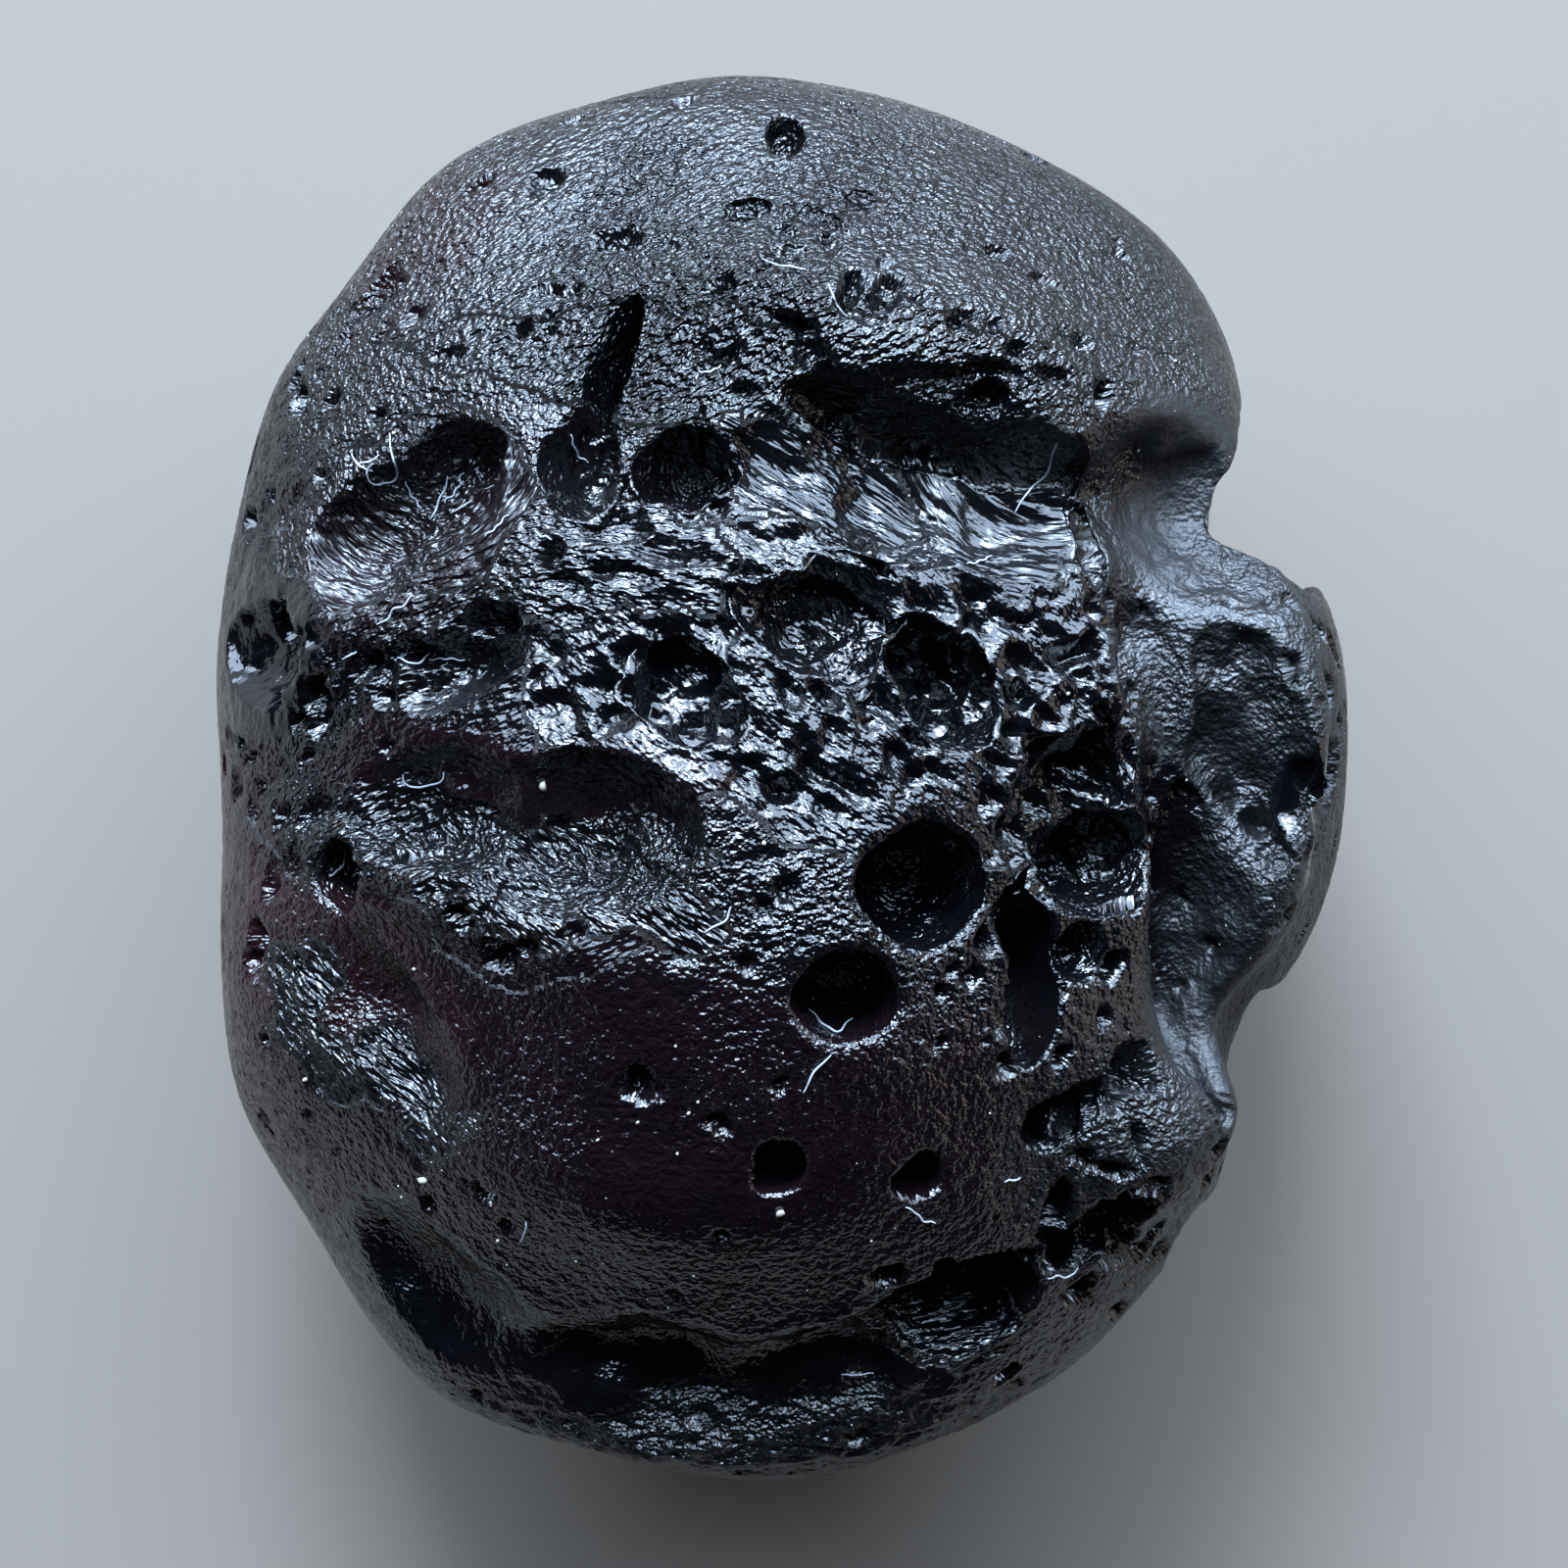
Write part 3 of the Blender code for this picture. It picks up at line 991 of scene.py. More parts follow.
@dataclass(frozen=True)
class PlainFinish:
    """A matt finish of one colour: its material's name, its colour and its roughness."""

    name: str
    colour: str
    roughness: float

    def build(self) -> bpy.types.Material:
        """Builds the material.

        Returns:
            The material.
        """
        tree = NodeTree(self.name)
        tree.shader.inputs["Base Color"].default_value = linear(self.colour)
        tree.shader.inputs["Roughness"].default_value = self.roughness
        return tree.material


# Loose cotton fibre from a cloth, which reads as fine pale threads on the black glass.
COTTON_LINT = PlainFinish("cotton_lint", "#8e929a", 0.8)

# Dry clay and sand grains, which read as small soft specks.
MINERAL_DUST = PlainFinish("mineral_dust", "#8d877c", 0.9)

# Matt uncoated card, which takes the stone's soft shadow without a shine.
MATT_CARD = PlainFinish("matt_card", "#6a6056", 0.9)


@dataclass(frozen=True)
class Fibre:
    """A fibre's middle in plan and its length in mm, its heading there and how far it turns in all."""

    x: float
    y: float
    length: float
    heading: float
    bend: float = 20.0


@dataclass
class Lint:
    """Fibres caught on the rough skin, each a thin tube that lies along the ground.

    wobble is how far a fibre's heading strays, in degrees, slow_sway and quick_sway how often
    it does, and span how many steps to each side a fibre bridges a dip.
    """

    fibres: list
    radius: float = 0.026
    steps: int = 26
    sides: int = 6
    wobble: float = 14.0
    slow_sway: float = 9.0
    quick_sway: float = 17.0
    span: int = 2
    end_thickness: float = 0.55

    def windows(self, level: np.ndarray) -> list:
        """Copies of the steps' heights, shifted by up to span steps each way."""
        padded = np.pad(level, self.span, mode="edge")
        return [padded[at:at + self.steps] for at in range(2 * self.span + 1)]

    def path(self, fibre: Fibre, ground: Ground, number: int) -> np.ndarray:
        """Places along a fibre, bridging the small pits under it.

        Args:
            fibre: The fibre.
            ground: What it lies on.
            number: Chooses how it strays.

        Returns:
            One row for each step, in mm.
        """
        share = np.linspace(-0.5, 0.5, self.steps)
        sway = np.random.default_rng(number).normal(size=3) * self.wobble
        turns = fibre.heading + fibre.bend * share
        turns = turns + sway[0] * np.sin(self.slow_sway * share + sway[1])
        turns = turns + sway[2] * np.sin(self.quick_sway * share)
        step = fibre.length / (self.steps - 1)
        east, north = np.cumsum(np.cos(np.radians(turns))), np.cumsum(np.sin(np.radians(turns)))
        middle = self.steps // 2
        x = fibre.x + (east - east[middle]) * step
        y = fibre.y + (north - north[middle]) * step
        level = np.array([ground.height(*place) for place in zip(x, y)])
        bridged = np.max(self.windows(level), axis=0)
        eased = np.mean(self.windows(bridged), axis=0)
        return np.stack((x, y, eased + self.radius), axis=1)

    def tube(self, path: np.ndarray) -> tuple[list, list]:
        """A tube round a path, thinner to its ends.

        Args:
            path: Places along the fibre, one row each, in mm.

        Returns:
            The tube's points and faces.
        """
        along = np.gradient(path, axis=0)
        along /= np.linalg.norm(along, axis=1)[:, None]
        across = np.cross(along, (0, 0, 1.0))
        across /= np.linalg.norm(across, axis=1)[:, None] + TINY
        over = np.cross(across, along)
        swell = np.sin(np.linspace(0, math.pi, self.steps))
        thick = self.radius * (self.end_thickness + (1 - self.end_thickness) * swell)
        points, faces = [], []
        for at in range(self.steps):
            for side in range(self.sides):
                angle = 2 * math.pi * side / self.sides
                out = across[at] * math.cos(angle) + over[at] * math.sin(angle)
                points.append(path[at] + out * thick[at])
        for at in range(self.steps - 1):
            for side in range(self.sides):
                near, far = at * self.sides, (at + 1) * self.sides
                turn = (side + 1) % self.sides
                faces.append((near + side, near + turn, far + turn, far + side))
        last = (self.steps - 1) * self.sides
        faces.append(tuple(reversed(range(self.sides))))
        faces.append(tuple(range(last, last + self.sides)))
        return points, faces

    def build(self, ground: Ground) -> bpy.types.Object:
        """Lays all the fibres, as one piece.

        Args:
            ground: What they lie on.

        Returns:
            The piece.
        """
        points, faces = [], []
        for number, fibre in enumerate(self.fibres):
            more, loops = self.tube(self.path(fibre, ground, number))
            faces += [tuple(corner + len(points) for corner in loop) for loop in loops]
            points += more
        return placed_mesh("lint_fibres", points, faces)


@dataclass(frozen=True)
class Speck:
    """A grain of dust: its place in plan and its radius, in mm."""

    x: float
    y: float
    radius: float


@dataclass
class Dust:
    """Grains lodged in the skin: a few that are easily seen, and a scatter of fine ones.

    The scatter fills an oval of reach_x by reach_y, with grains from finest to coarsest in
    radius, in mm. shape is a grain's size in each direction before it is turned, lumps how
    far its points stand from its middle, and rise how far that stands over the skin, all as
    shares of its radius.
    """

    specks: list
    scatter: int = 170
    reach_x: float = 12.5
    reach_y: float = 16.0
    finest: float = 0.022
    coarsest: float = 0.072
    shape: tuple = (1.0, 0.85, 0.7)
    lumps: tuple = (0.75, 1.2)
    rise: float = 0.3

    def build(self, ground: Ground) -> bpy.types.Object:
        """Lays all the grains, as one piece.

        Args:
            ground: What they lie on.

        Returns:
            The piece.
        """
        dice = np.random.default_rng(Seed.DUST)
        specks = list(self.specks)
        for _ in range(self.scatter):
            angle, far = dice.uniform(0, 2 * math.pi), math.sqrt(dice.uniform(0, 1))
            place = (self.reach_x * far * math.cos(angle), self.reach_y * far * math.sin(angle))
            radius = self.finest + (self.coarsest - self.finest) * dice.uniform(0, 1) ** 3
            specks.append(Speck(*place, radius))
        grain = bmesh.new()
        bmesh.ops.create_icosphere(grain, subdivisions=1, radius=1.0)
        ball = np.array([vert.co[:] for vert in grain.verts])
        loops = [tuple(vert.index for vert in face.verts) for face in grain.faces]
        grain.free()
        points, faces = [], []
        for speck in specks:
            lumpy = ball * dice.uniform(*self.lumps, (len(ball), 1)) * self.shape * speck.radius
            middle = (speck.x, speck.y, ground.height(speck.x, speck.y) + speck.radius * self.rise)
            faces += [tuple(corner + len(points) for corner in loop) for loop in loops]
            points += list(lumpy @ np.linalg.qr(dice.normal(size=(3, 3)))[0] + middle)
        return placed_mesh("dust_grains", points, faces)


def placed_mesh(name: str, points: list, faces: list) -> bpy.types.Object:
    """Makes a smooth-shaded piece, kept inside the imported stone's box.

    Args:
        name: The piece's name.
        points: Its points, in mm.
        faces: Its faces, as tuples of point numbers.

    Returns:
        The piece, linked to the scene.
    """
    low, high = CAD_BOX
    mesh = bpy.data.meshes.new(name)
    mesh.from_pydata(np.clip(np.array(points) * MM, low, high).tolist(), [], faces)
    mesh.polygons.foreach_set("use_smooth", np.ones(len(faces), bool))
    return linked(name, mesh)


@dataclass(frozen=True)
class PaleFloor:
    """Plain matt card under the stone, with its size in metres."""

    size: float = 0.9

    def build(self) -> bpy.types.Object:
        """Lays the floor level with the stone's resting flat.

        Returns:
            The floor.
        """
        mesh = bpy.data.meshes.new("floor")
        half = self.size / 2
        corners = [(-half, -half, 0), (half, -half, 0), (half, half, 0), (-half, half, 0)]
        mesh.from_pydata(corners, [], [(0, 1, 2, 3)])
        floor = linked("floor", mesh)
        mesh.materials.append(MATT_CARD.build())
        return floor


@dataclass(frozen=True)
class SoftBox:
    """A rectangular light that faces the stone: place and size in metres, power in watts."""

    name: str
    place: tuple
    width: float
    height: float
    power: float
    colour: str

    def build(self, aim: tuple) -> bpy.types.Object:
        """Hangs the light.

        Args:
            aim: The point that it faces, in metres.

        Returns:
            The light.
        """
        lamp = bpy.data.lights.new(self.name, "AREA")
        lamp.shape = "RECTANGLE"
        lamp.size = self.width
        lamp.size_y = self.height
        lamp.energy = self.power
        lamp.color = linear(self.colour)[:3]
        light = linked(self.name, lamp)
        light.location = self.place
        light.rotation_euler = (Vector(aim) - Vector(self.place)).to_track_quat("-Z", "Y").to_euler()
        return light


@dataclass(frozen=True)
class Studio:
    """Room light, soft boxes and camera, with places in metres.

    The large cool panel stands beyond the cap, so every slope that faces it lights up, the
    key before it gives the hard glints, and the faint warm card fills the east side.
    """

    camera_height: float = 0.112
    camera_north: float = -0.00024
    lens: float = 90.0
    clip_start: float = 0.005
    room_colour: str = "#8d8f96"
    room_strength: float = 0.05
    aim: tuple = (0, 0, 0.012)
    lights: tuple = (
        SoftBox("north_panel", (0.0, 0.47, 0.33), 1.30, 0.70, 40.0, "#c8e2ff"),
        SoftBox("north_key", (-0.06, 0.42, 0.38), 0.20, 0.18, 10.0, "#c8e2ff"),
        SoftBox("east_card", (0.55, 0.0, 0.12), 0.40, 0.24, 0.6, "#fff1e2"),
    )

    def build(self) -> None:
        """Builds the room, the lights and the camera."""
        world = bpy.data.worlds.new("room")
        bpy.context.scene.world = world
        world.use_nodes = True
        background = world.node_tree.nodes["Background"]
        background.inputs["Color"].default_value = linear(self.room_colour)
        background.inputs["Strength"].default_value = self.room_strength
        for light in self.lights:
            light.build(self.aim)
        camera_data = bpy.data.cameras.new("camera")
        camera_data.lens = self.lens
        camera_data.clip_start = self.clip_start
        camera = linked("camera", camera_data)
        camera.location = (0, self.camera_north, self.camera_height)
        bpy.context.scene.camera = camera
        bpy.context.scene.view_settings.view_transform = "Standard"


def stone_form() -> Form:
    """Sets out the swells and the scoops, by their places on the form.

    Returns:
        The form.
    """
    form = Form()
    front, back, rim = form.front, form.back, form.rim
    form.swells = [
        # The front: brow, body, lobe and the sunk ground between them.
        Swell("brow", front(1.5, 10.8), 14.0, 3.8, 0.9, -8),
        Swell("body", front(-0.9, -3.4), 14.0, 11.0, 1.5, 100),
        Swell("chin", front(-3.8, -9.8), 9.5, 4.2, 0.8, -8),
        Swell("band_ridge", front(-3.4, 4.8), 7.0, 2.4, 0.4, -8),
        Swell("west_ridge", front(-7.8, -2.9), 8.0, 2.0, 0.7, -14),
        Swell("west_bank", front(-10.8, 3.4), 5.5, 2.8, 0.5, 20),
        Swell("lobe", front(11.8, 0.7), 9.0, 2.8, 1.5, 92),
        Swell("lobe_valley", front(9.9, -0.6), 12.5, 2.2, -1.8, 102),
        Swell("southeast_lump", front(9.4, -8.6), 4.6, 3.0, 2.0, 20),
        Swell("southeast_saddle", front(11.2, -6.4), 4.0, 3.0, -1.0, 10),
        Swell("bottom_rim", front(-1.0, -16.4), 13.0, 2.2, 0.8, 3),
        Swell("north_slope", front(-5.8, 12.4), 12.0, 6.0, -0.5, 30),
        # The back and the sides.
        Swell("back_ridge", back(3.0, -4.0), 16.0, 6.0, 0.5, 60),
        Swell("back_hollow", back(-6.5, 8.0), 9.0, 6.0, -0.8, 35),
        Swell("back_shoulder", back(8.0, 9.0), 7.0, 5.0, 0.7, -30),
        Swell("west_flank", rim(186, -2.0), 9.0, 5.0, -0.4, 80),
        Swell("north_flank", rim(100, -3.0), 10.0, 4.0, -0.6, 10),
    ]
    form.scoops = [
        # The deep cleft under the brow, and the side channel that it runs out through.
        Scoop("brow_cleft", front(3.9, 6.9), 9.6, 4.0, 1.2, -14, 0.6, 0.15),
        Scoop("brow_cleft_undercut", front(4.2, 8.1), 9.0, 1.2, 2.6, -12, 0.1, 0.08),
        Scoop("cleft_west_floor", front(0.5, 7.3), 4.4, 2.8, 1.0, -28, 0.55, 0.15),
        Scoop("cleft_end_slot", front(7.5, 5.5), 2.6, 0.8, 2.4, -82, 0.2),
        Scoop("side_channel", front(9.3, 6.2), 5.2, 4.2, 1.3, 0, 0.6, 0.6),
        Scoop("side_bay", rim(28.5, 0.5), 15.0, 5.0, 3.5, 90, 0.25, 0.3),
        # The slots and bowls west of the cleft.
        Scoop("upright_slot", front(-4.1, 9.8), 3.2, 1.1, 3.0, 72, 0.1),
        Scoop("slot_foot", front(-4.7, 7.5), 2.9, 1.9, 1.8, 85, 0.3),
        Scoop("round_bowl", front(-2.2, 7.2), 2.5, 2.0, 2.2, 0, 0.15),
        Scoop("west_hollow", front(-9.3, 6.2), 6.0, 3.4, 1.7, 18, 0.5, 0.25),
        Scoop("west_hollow_head", front(-8.6, 7.2), 4.6, 1.5, 1.6, 14, 0.4, 0.12),
        Scoop("west_chip", front(-12.8, 3.0), 4.4, 2.6, 1.1, 80, 0.7, 0.05),
        Scoop("chip_crevice", front(-12.3, 2.9), 2.4, 1.0, 1.8, 80, 0.0, 0.05),
        # The craters across the middle.
        Scoop("middle_crater", front(0.8, 3.3), 3.2, 2.2, 1.5, -15, 0.4),
        Scoop("slanting_crater", front(3.6, 2.2), 3.6, 2.2, 1.8, -50, 0.3),
        Scoop("ripple_hollow", front(-2.2, 1.8), 3.0, 1.9, 1.1, -35, 0.5),
        Scoop("long_hollow_west", front(-8.0, -0.8), 6.4, 3.0, 1.3, -4, 0.3, 0.3),
        Scoop("long_hollow_east", front(-4.6, -1.2), 5.6, 3.6, 1.7, -12, 0.3, 0.3),
        Scoop("east_dish", front(7.0, -1.0), 4.4, 3.6, 1.4, 60, 0.55, 0.3),
        # Burst bubbles.
        Scoop("bubble_middle", front(3.0, -2.5), 3.0, 2.9, 3.2, 0, 0.0),
        Scoop("bubble_south", front(1.3, -5.0), 2.4, 2.1, 2.6, 0, 0.0),
        Scoop("bubble_upright", front(5.7, -5.0), 3.9, 1.5, 2.8, 87, 0.0),
        Scoop("bubble_upright_head", front(5.4, -3.5), 1.5, 1.3, 1.5, 80, 0.2),
        Scoop("bubble_east", front(7.7, -2.2), 3.2, 2.3, 2.6, 8, 0.0),
        Scoop("bubble_east_foot", front(7.0, -4.2), 1.5, 1.4, 1.4, 80, 0.3),
        Scoop("bubble_low", front(-0.2, -8.8), 1.4, 1.5, 1.8, 0, 0.0),
        Scoop("bubble_west", front(-10.6, -2.5), 1.8, 1.6, 1.6, 0, 0.05),
        Scoop("bubble_southeast", front(6.4, -8.1), 1.9, 1.3, 1.5, 10, 0.1),
        # The valley that parts the east lobe from the body, and the hollows in the lobe.
        Scoop("lobe_valley_north", front(8.8, 2.6), 5.0, 1.8, 0.8, 98, 0.5, 0.5),
        Scoop("lobe_valley_south", front(10.3, -3.6), 7.6, 1.9, 1.1, 100, 0.6, 0.5),
        Scoop("lobe_hollow", front(10.4, 2.5), 2.4, 1.7, 0.6, -72, 0.6, 0.25),
        Scoop("lobe_hollow_foot", front(10.7, 0.1), 4.8, 2.1, 0.9, 98, 0.6, 0.3),
        Scoop("lobe_waist", rim(330, 0.5), 10.0, 3.4, 0.8, 90, 0.55, 0.4),
        # The lower face.
        Scoop("southwest_valley", front(-9.8, -5.4), 6.4, 2.8, 0.4, -38, 0.5, 0.35),
        Scoop("crescent_west", front(-8.4, -12.6), 6.8, 3.4, 0.9, -30, 0.6, 0.35),
        Scoop("crescent_middle", front(-3.4, -14.3), 9.0, 3.6, 1.1, -8, 0.6, 0.35),
        Scoop("crescent_east", front(1.6, -14.2), 7.2, 3.2, 1.0, 8, 0.6, 0.35),
        Scoop("oval_cavity", front(4.1, -12.9), 4.6, 3.0, 2.8, 8, 0.0, 0.12),
        Scoop("oval_cavity_head", front(4.7, -12.0), 3.4, 1.4, 3.2, 8, 0.0, 0.1),
        Scoop("southeast_gouge", front(7.6, -11.0), 2.8, 1.7, 1.5, 55, 0.4),
        Scoop("southeast_notch", rim(312, 1.5), 4.4, 2.6, 0.8, 70, 0.5, 0.3),
        # The crown's north slope.
        Scoop("north_pit", front(0.1, 15.7), 0.9, 1.5, 1.0, 0, 0.0),
        Scoop("cap_hollow_west", front(-0.9, 13.6), 1.3, 0.9, 1.1, 25, 0.1, 0.06),
        Scoop("cap_hollow_middle", front(0.7, 13.4), 1.7, 0.8, 1.2, -20, 0.1, 0.06),
        Scoop("cap_hollow_east", front(1.9, 13.9), 0.9, 0.8, 1.0, 0, 0.1, 0.06),
        # The back, which carries broader hollows round the resting flat.
        Scoop("back_long_scoop", back(-7.6, 6.4), 9.0, 3.8, 2.2, 40, 0.5, 0.3),
        Scoop("back_north_bowl", back(2.6, 11.6), 5.0, 3.8, 2.0, 10, 0.4),
        Scoop("back_bay_tail", back(10.4, 6.2), 5.6, 3.0, 1.9, 25, 0.5, 0.3),
        Scoop("back_east_scoop", back(10.2, -2.6), 6.2, 3.0, 1.8, 80, 0.5, 0.3),
        Scoop("back_bubble_east", back(7.2, -8.2), 2.8, 2.5, 2.3, 0, 0.05),
        Scoop("back_bubble_pair", back(9.0, -10.2), 2.0, 1.8, 1.6, 0, 0.05),
        Scoop("back_south_scoop", back(-1.6, -13.0), 8.4, 3.6, 2.1, 8, 0.5, 0.3),
        Scoop("back_southwest_scoop", back(-9.4, -7.4), 7.0, 3.4, 1.9, -55, 0.5, 0.3),
        Scoop("back_bubble_west", back(-11.0, -0.6), 2.6, 2.3, 2.0, 0, 0.1),
        Scoop("back_bubble_north", back(-3.4, 12.6), 2.4, 2.2, 1.9, 0, 0.1),
        # The sides.
        Scoop("north_side_scoop", rim(112, -2.5), 7.0, 3.4, 1.5, 15, 0.6, 0.3),
        Scoop("west_side_scoop", rim(196, -3.5), 6.0, 3.6, 1.5, 70, 0.6, 0.3),
        Scoop("south_side_scoop", rim(262, -3.5), 7.4, 3.2, 1.6, 0, 0.6, 0.3),
        Scoop("south_side_bubble", rim(285, -2.5), 2.2, 1.9, 1.6, 0, 0.1),
        Scoop("northeast_side_bubble", rim(62, -4.2), 2.4, 2.1, 1.8, 0, 0.1),
    ]
    return form


# A later patch lies over the earlier ones.
PATCHES = [
    # Broad ground under the rest: the south, and the west rim with its maroon.
    Patch("south", 0.0, -11.5, 36.0, 16.0, 0, foam=0.12, grit=0.35, satin=0.1, maroon=0.15),
    Patch("west_rim", -13.6, -5.5, 4.6, 17.0, 8, foam=0.14, grit=0.6, satin=0.1, maroon=0.75),
    # The cap: fine speckle, coarser towards the brow, satin at its east end.
    Patch("cap", 0.0, 13.4, 27.0, 8.0, 0, flow=Flow.STRAIGHT, heading=35, stretch=1.4, foam=0.17, grit=1.1),
    Patch("cap_north", 0.0, 16.4, 24.0, 5.0, 0, foam=0.14, grit=1.0, satin=0.1),
    Patch("cap_west", -9.4, 13.0, 5.0, 3.6, 40, foam=0.2, grit=0.9, satin=0.1, maroon=0.5),
    Patch("cap_east", 9.6, 12.0, 7.4, 8.4, -40, foam=0.14, grit=0.95, satin=0.25),
    Patch(
        "brow_belt", -0.5, 10.2, 17.0, 4.2, -5, flow=Flow.STRAIGHT, heading=35, stretch=1.5,
        foam=0.36, grit=1.25,
    ),
    # The side channel and the east lobe.
    Patch("channel", 9.8, 6.2, 4.2, 4.4, 0, foam=0.0, grit=0.15, satin=1.0),
    Patch("lobe", 12.0, 0.4, 4.6, 12.0, 8, foam=0.2, grit=0.9, satin=0.85),
    # The middle band.
    Patch("bubble_belt", 3.4, -3.6, 11.0, 5.0, -8, foam=0.35, grit=0.6),
    Patch(
        "middle", 1.4, 1.8, 16.0, 7.8, -8, flow=Flow.STRAIGHT, heading=-38, stretch=1.7,
        foam=1.0, grit=0.5,
    ),
    Patch("bubble_ground", 3.0, -2.6, 4.2, 3.8, 0, foam=0.10, grit=0.6),
    Patch("lobe_valley", 10.1, -0.6, 2.0, 10.5, 13, foam=0.1, grit=0.6, satin=0.85),
    Patch(
        "band", -3.4, 4.9, 8.0, 2.6, -8, flow=Flow.STRAIGHT, heading=-10, stretch=2.2,
        foam=0.7, striae=0.5, grit=1.0,
    ),
    Patch(
        "cleft_west", 0.9, 6.9, 4.6, 2.6, -30, flow=Flow.STRAIGHT, heading=-32, stretch=6.0,
        foam=0.05, striae=1.0, grit=0.7,
    ),
    Patch(
        "cleft_east", 5.0, 6.2, 5.4, 3.6, -25, flow=Flow.SWIRL, eye=(6.4, 8.4), stretch=8.0,
        foam=0.0, striae=1.0, grit=0.5, satin=0.2,
    ),
    Patch(
        "west", -9.6, 1.6, 7.6, 10.0, 0, flow=Flow.STRAIGHT, heading=22, stretch=2.4,
        foam=0.55, grit=0.7, maroon=0.03,
    ),
    Patch(
        "west_hollow", -9.2, 6.0, 6.4, 4.2, 18, flow=Flow.SWIRL, eye=(-8.6, 7.9), stretch=6.0,
        foam=0.1, striae=1.0, grit=1.0, satin=0.3, maroon=0.25,
    ),
    Patch("chip", -12.7, 3.0, 2.8, 4.0, 0, foam=0.15, grit=0.15),
    Patch("long_hollow", -6.2, -0.3, 9.0, 2.4, -8, foam=0.10, grit=0.5, maroon=0.25),
    Patch(
        "long_bank", -6.0, -2.4, 9.4, 2.6, -12, flow=Flow.STRAIGHT, heading=-35, stretch=3.0,
        foam=0.35, striae=0.6, grit=1.3,
    ),
    Patch(
        "west_ridge", -7.8, -3.1, 8.4, 2.2, -16, flow=Flow.STRAIGHT, heading=24, stretch=2.6,
        foam=0.5, grit=0.8, maroon=0.05,
    ),
    # The lower face, the southeast and the hollows of the lobe.
    Patch("lower", -3.0, -8.4, 19.0, 9.4, -8, foam=0.12, grit=0.5, maroon=0.18),
    Patch("southwest", -9.8, -5.2, 6.0, 2.6, -38, foam=0.07, grit=0.5, satin=0.15, maroon=0.5),
    Patch(
        "southwest_bank", -10.4, -6.6, 6.4, 1.4, -38, flow=Flow.STRAIGHT, heading=-38, stretch=4.0,
        foam=0.25, striae=0.8, grit=1.0, satin=0.2,
    ),
    Patch("crescent_west", -8.2, -12.6, 7.0, 2.8, -30, foam=0.03, grit=0.3),
    Patch("crescent", -1.2, -14.2, 13.0, 2.8, 0, foam=0.03, grit=0.25),
    Patch("bottom_rim", 0.0, -16.4, 16.0, 2.6, 0, foam=0.2, striae=0.8, grit=0.7, satin=0.4),
    Patch(
        "oval_floor", 3.7, -13.3, 3.6, 2.2, 0, flow=Flow.STRAIGHT, heading=12, stretch=4.0,
        foam=0.1, striae=1.0, grit=1.3,
    ),
    Patch("southeast", 8.0, -9.4, 6.4, 7.0, 30, foam=0.40, grit=0.8, satin=0.3),
    Patch("lump", 9.6, -8.3, 3.4, 2.8, 0, foam=0.12, grit=0.6, satin=0.75),
    Patch("saddle", 11.0, -6.6, 4.4, 4.0, 0, foam=0.03, grit=0.4, satin=1.0),
    Patch("lobe_hollows", 10.8, 0.9, 2.2, 7.0, 8, foam=0.15, grit=0.6, satin=0.7),
    Patch("dimple", 12.5, -0.7, 1.4, 2.4, 0, foam=0.0, grit=0.1),
]

PITS = [
    # On the cap and along the brow.
    Pit(0.1, 12.9, 0.9, 0.5, 0.25, -30), Pit(1.2, 12.5, 0.5, 0.9, 0.25),
    Pit(-5.6, 11.0, 0.9, 0.5, 0.35, 20), Pit(2.0, 10.7, 1.0, 0.6, 0.4),
    Pit(-1.4, 9.5, 0.8, 0.6, 0.4), Pit(0.6, 9.6, 1.2, 0.8, 0.5),
    Pit(4.8, 9.5, 1.5, 0.8, 0.6, -10), Pit(6.3, 9.6, 1.2, 0.5, 0.4, -8),
    # Round the west bank.
    Pit(-6.9, 3.5, 1.3, 1.0, 1.1), Pit(-8.2, 1.9, 1.1, 0.9, 1.0), Pit(-8.6, 2.8, 1.9, 0.9, 1.0, 8),
    Pit(-5.7, 5.1, 0.8, 0.8, 0.7),
    # Across the middle, on the lobe and below.
    Pit(2.6, 4.9, 0.8, 0.6, 0.4), Pit(5.6, 1.8, 1.0, 0.9, 0.8), Pit(6.6, 3.0, 1.4, 1.0, 0.8, 20),
    Pit(11.7, -2.0, 0.8, 1.0, 0.5), Pit(3.3, -9.5, 1.2, 1.3, 1.5), Pit(7.8, -11.2, 1.4, 1.0, 0.7, 20),
    # Cracks between the blocks of the southeast lump, and the dark gaps by it.
    Pit(8.4, -9.0, 1.6, 0.35, 0.5, -65), Pit(7.8, -9.5, 1.8, 0.35, 0.5, -15),
    Pit(7.8, -10.3, 1.0, 0.35, 0.5, 15), Pit(8.3, -11.8, 1.1, 0.9, 0.7),
    Pit(6.6, -10.9, 2.4, 0.9, 1.1, 80), Pit(9.6, -10.2, 1.2, 0.3, 0.4, 30),
    # A smooth shallow dimple that catches the key light.
    Pit(12.5, -0.7, 2.2, 1.3, 0.5, 80),
]


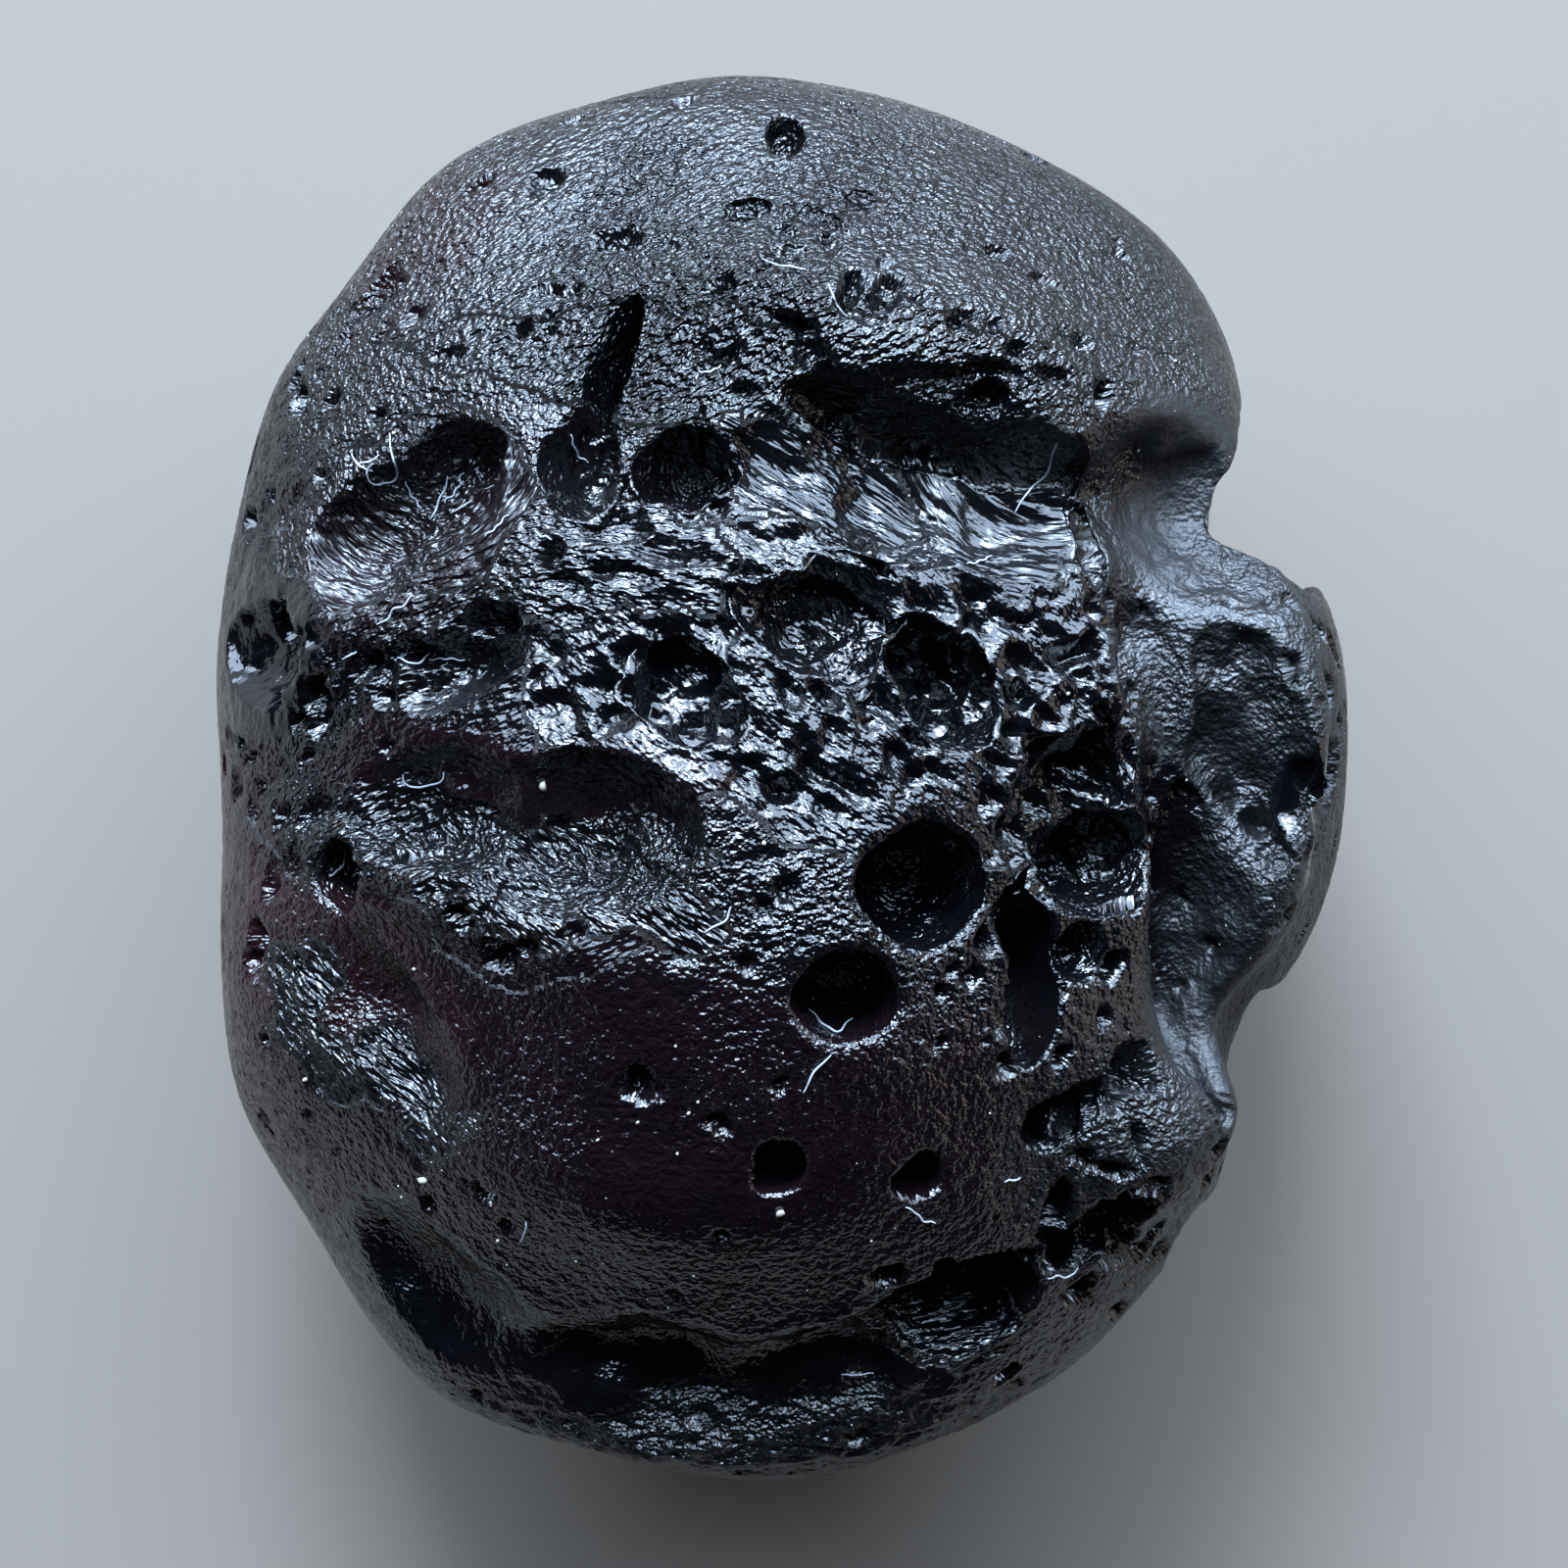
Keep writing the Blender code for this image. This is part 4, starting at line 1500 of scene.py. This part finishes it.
FIBRES = [
    # In the west hollow.
    Fibre(-10.2, 7.4, 0.8, -40, 70), Fibre(-9.95, 7.5, 0.6, 18, 50), Fibre(-10.0, 7.1, 0.8, -75, 190),
    Fibre(-9.3, 7.3, 1.7, -105, -120), Fibre(-9.0, 6.7, 0.8, -60, 25), Fibre(-8.3, 6.7, 1.1, 68, 15),
    Fibre(-7.9, 6.9, 1.0, 58, 30), Fibre(-7.75, 6.4, 0.6, 28, 15),
    # On the west bank.
    Fibre(-9.15, 3.9, 1.2, 38, 35), Fibre(-6.7, 5.8, 0.8, 42, 10), Fibre(-8.7, 2.6, 0.9, 5, 110),
    Fibre(-7.95, 2.7, 0.9, -2, -15), Fibre(-10.3, 2.8, 0.4, 25, 5), Fibre(-5.6, 5.5, 0.5, -25, 20),
    Fibre(-4.9, 7.6, 0.8, -60, 70), Fibre(-8.5, -0.3, 1.4, 0, 150), Fibre(-10.6, -2.2, 0.8, 60, 80),
    # In the cleft, on the cap and along the brow.
    Fibre(6.1, 7.0, 2.0, 55, 25), Fibre(0.0, 11.9, 1.1, -18, 15), Fibre(1.2, 11.0, 0.9, -62, 40),
    Fibre(-1.7, 9.4, 0.6, 15, 70), Fibre(4.6, 5.0, 0.7, 20, 40),
    # Below the foam and on the lower face.
    Fibre(1.1, -5.9, 1.3, -15, 120), Fibre(0.7, -6.8, 1.1, 55, -30), Fibre(3.2, -10.4, 0.9, -35, 30),
    Fibre(1.8, -14.6, 0.8, 0, 15), Fibre(6.8, -12.2, 0.9, 8, 50), Fibre(5.4, -9.6, 0.4, 5, 10),
    Fibre(-1.4, -3.4, 0.9, 40, 60), Fibre(-6.1, -10.8, 0.6, 70, 40),
]

SPECKS = [
    Speck(-5.6, -0.3, 0.15), Speck(-8.6, -9.7, 0.14), Speck(-0.1, -10.2, 0.13), Speck(-2.6, 1.6, 0.08),
    Speck(4.4, -12.2, 0.08), Speck(-11.6, -7.4, 0.09),
]


def main() -> None:
    """Builds the studio, the stone and what has settled on it."""
    Studio().build()
    floor = PaleFloor().build()
    log.info("%s: %d faces", floor.name, len(floor.data.polygons))
    glass = TektiteGlass().build()
    bands = Skin(stone_form(), patches=PATCHES, pits=PITS).build()
    for piece in bands:
        piece.data.materials.append(glass)
        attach(piece, "root")
        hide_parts("tektite")
        log.info("%s: %d faces", piece.name, len(piece.data.polygons))
    ground = Ground(bands)
    loose = ((Lint(FIBRES).build(ground), COTTON_LINT), (Dust(SPECKS).build(ground), MINERAL_DUST))
    for piece, finish in loose:
        piece.data.materials.append(finish.build())
        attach(piece, "root")
        log.info("%s: %d faces", piece.name, len(piece.data.polygons))


if __name__ == "__main__":
    main()
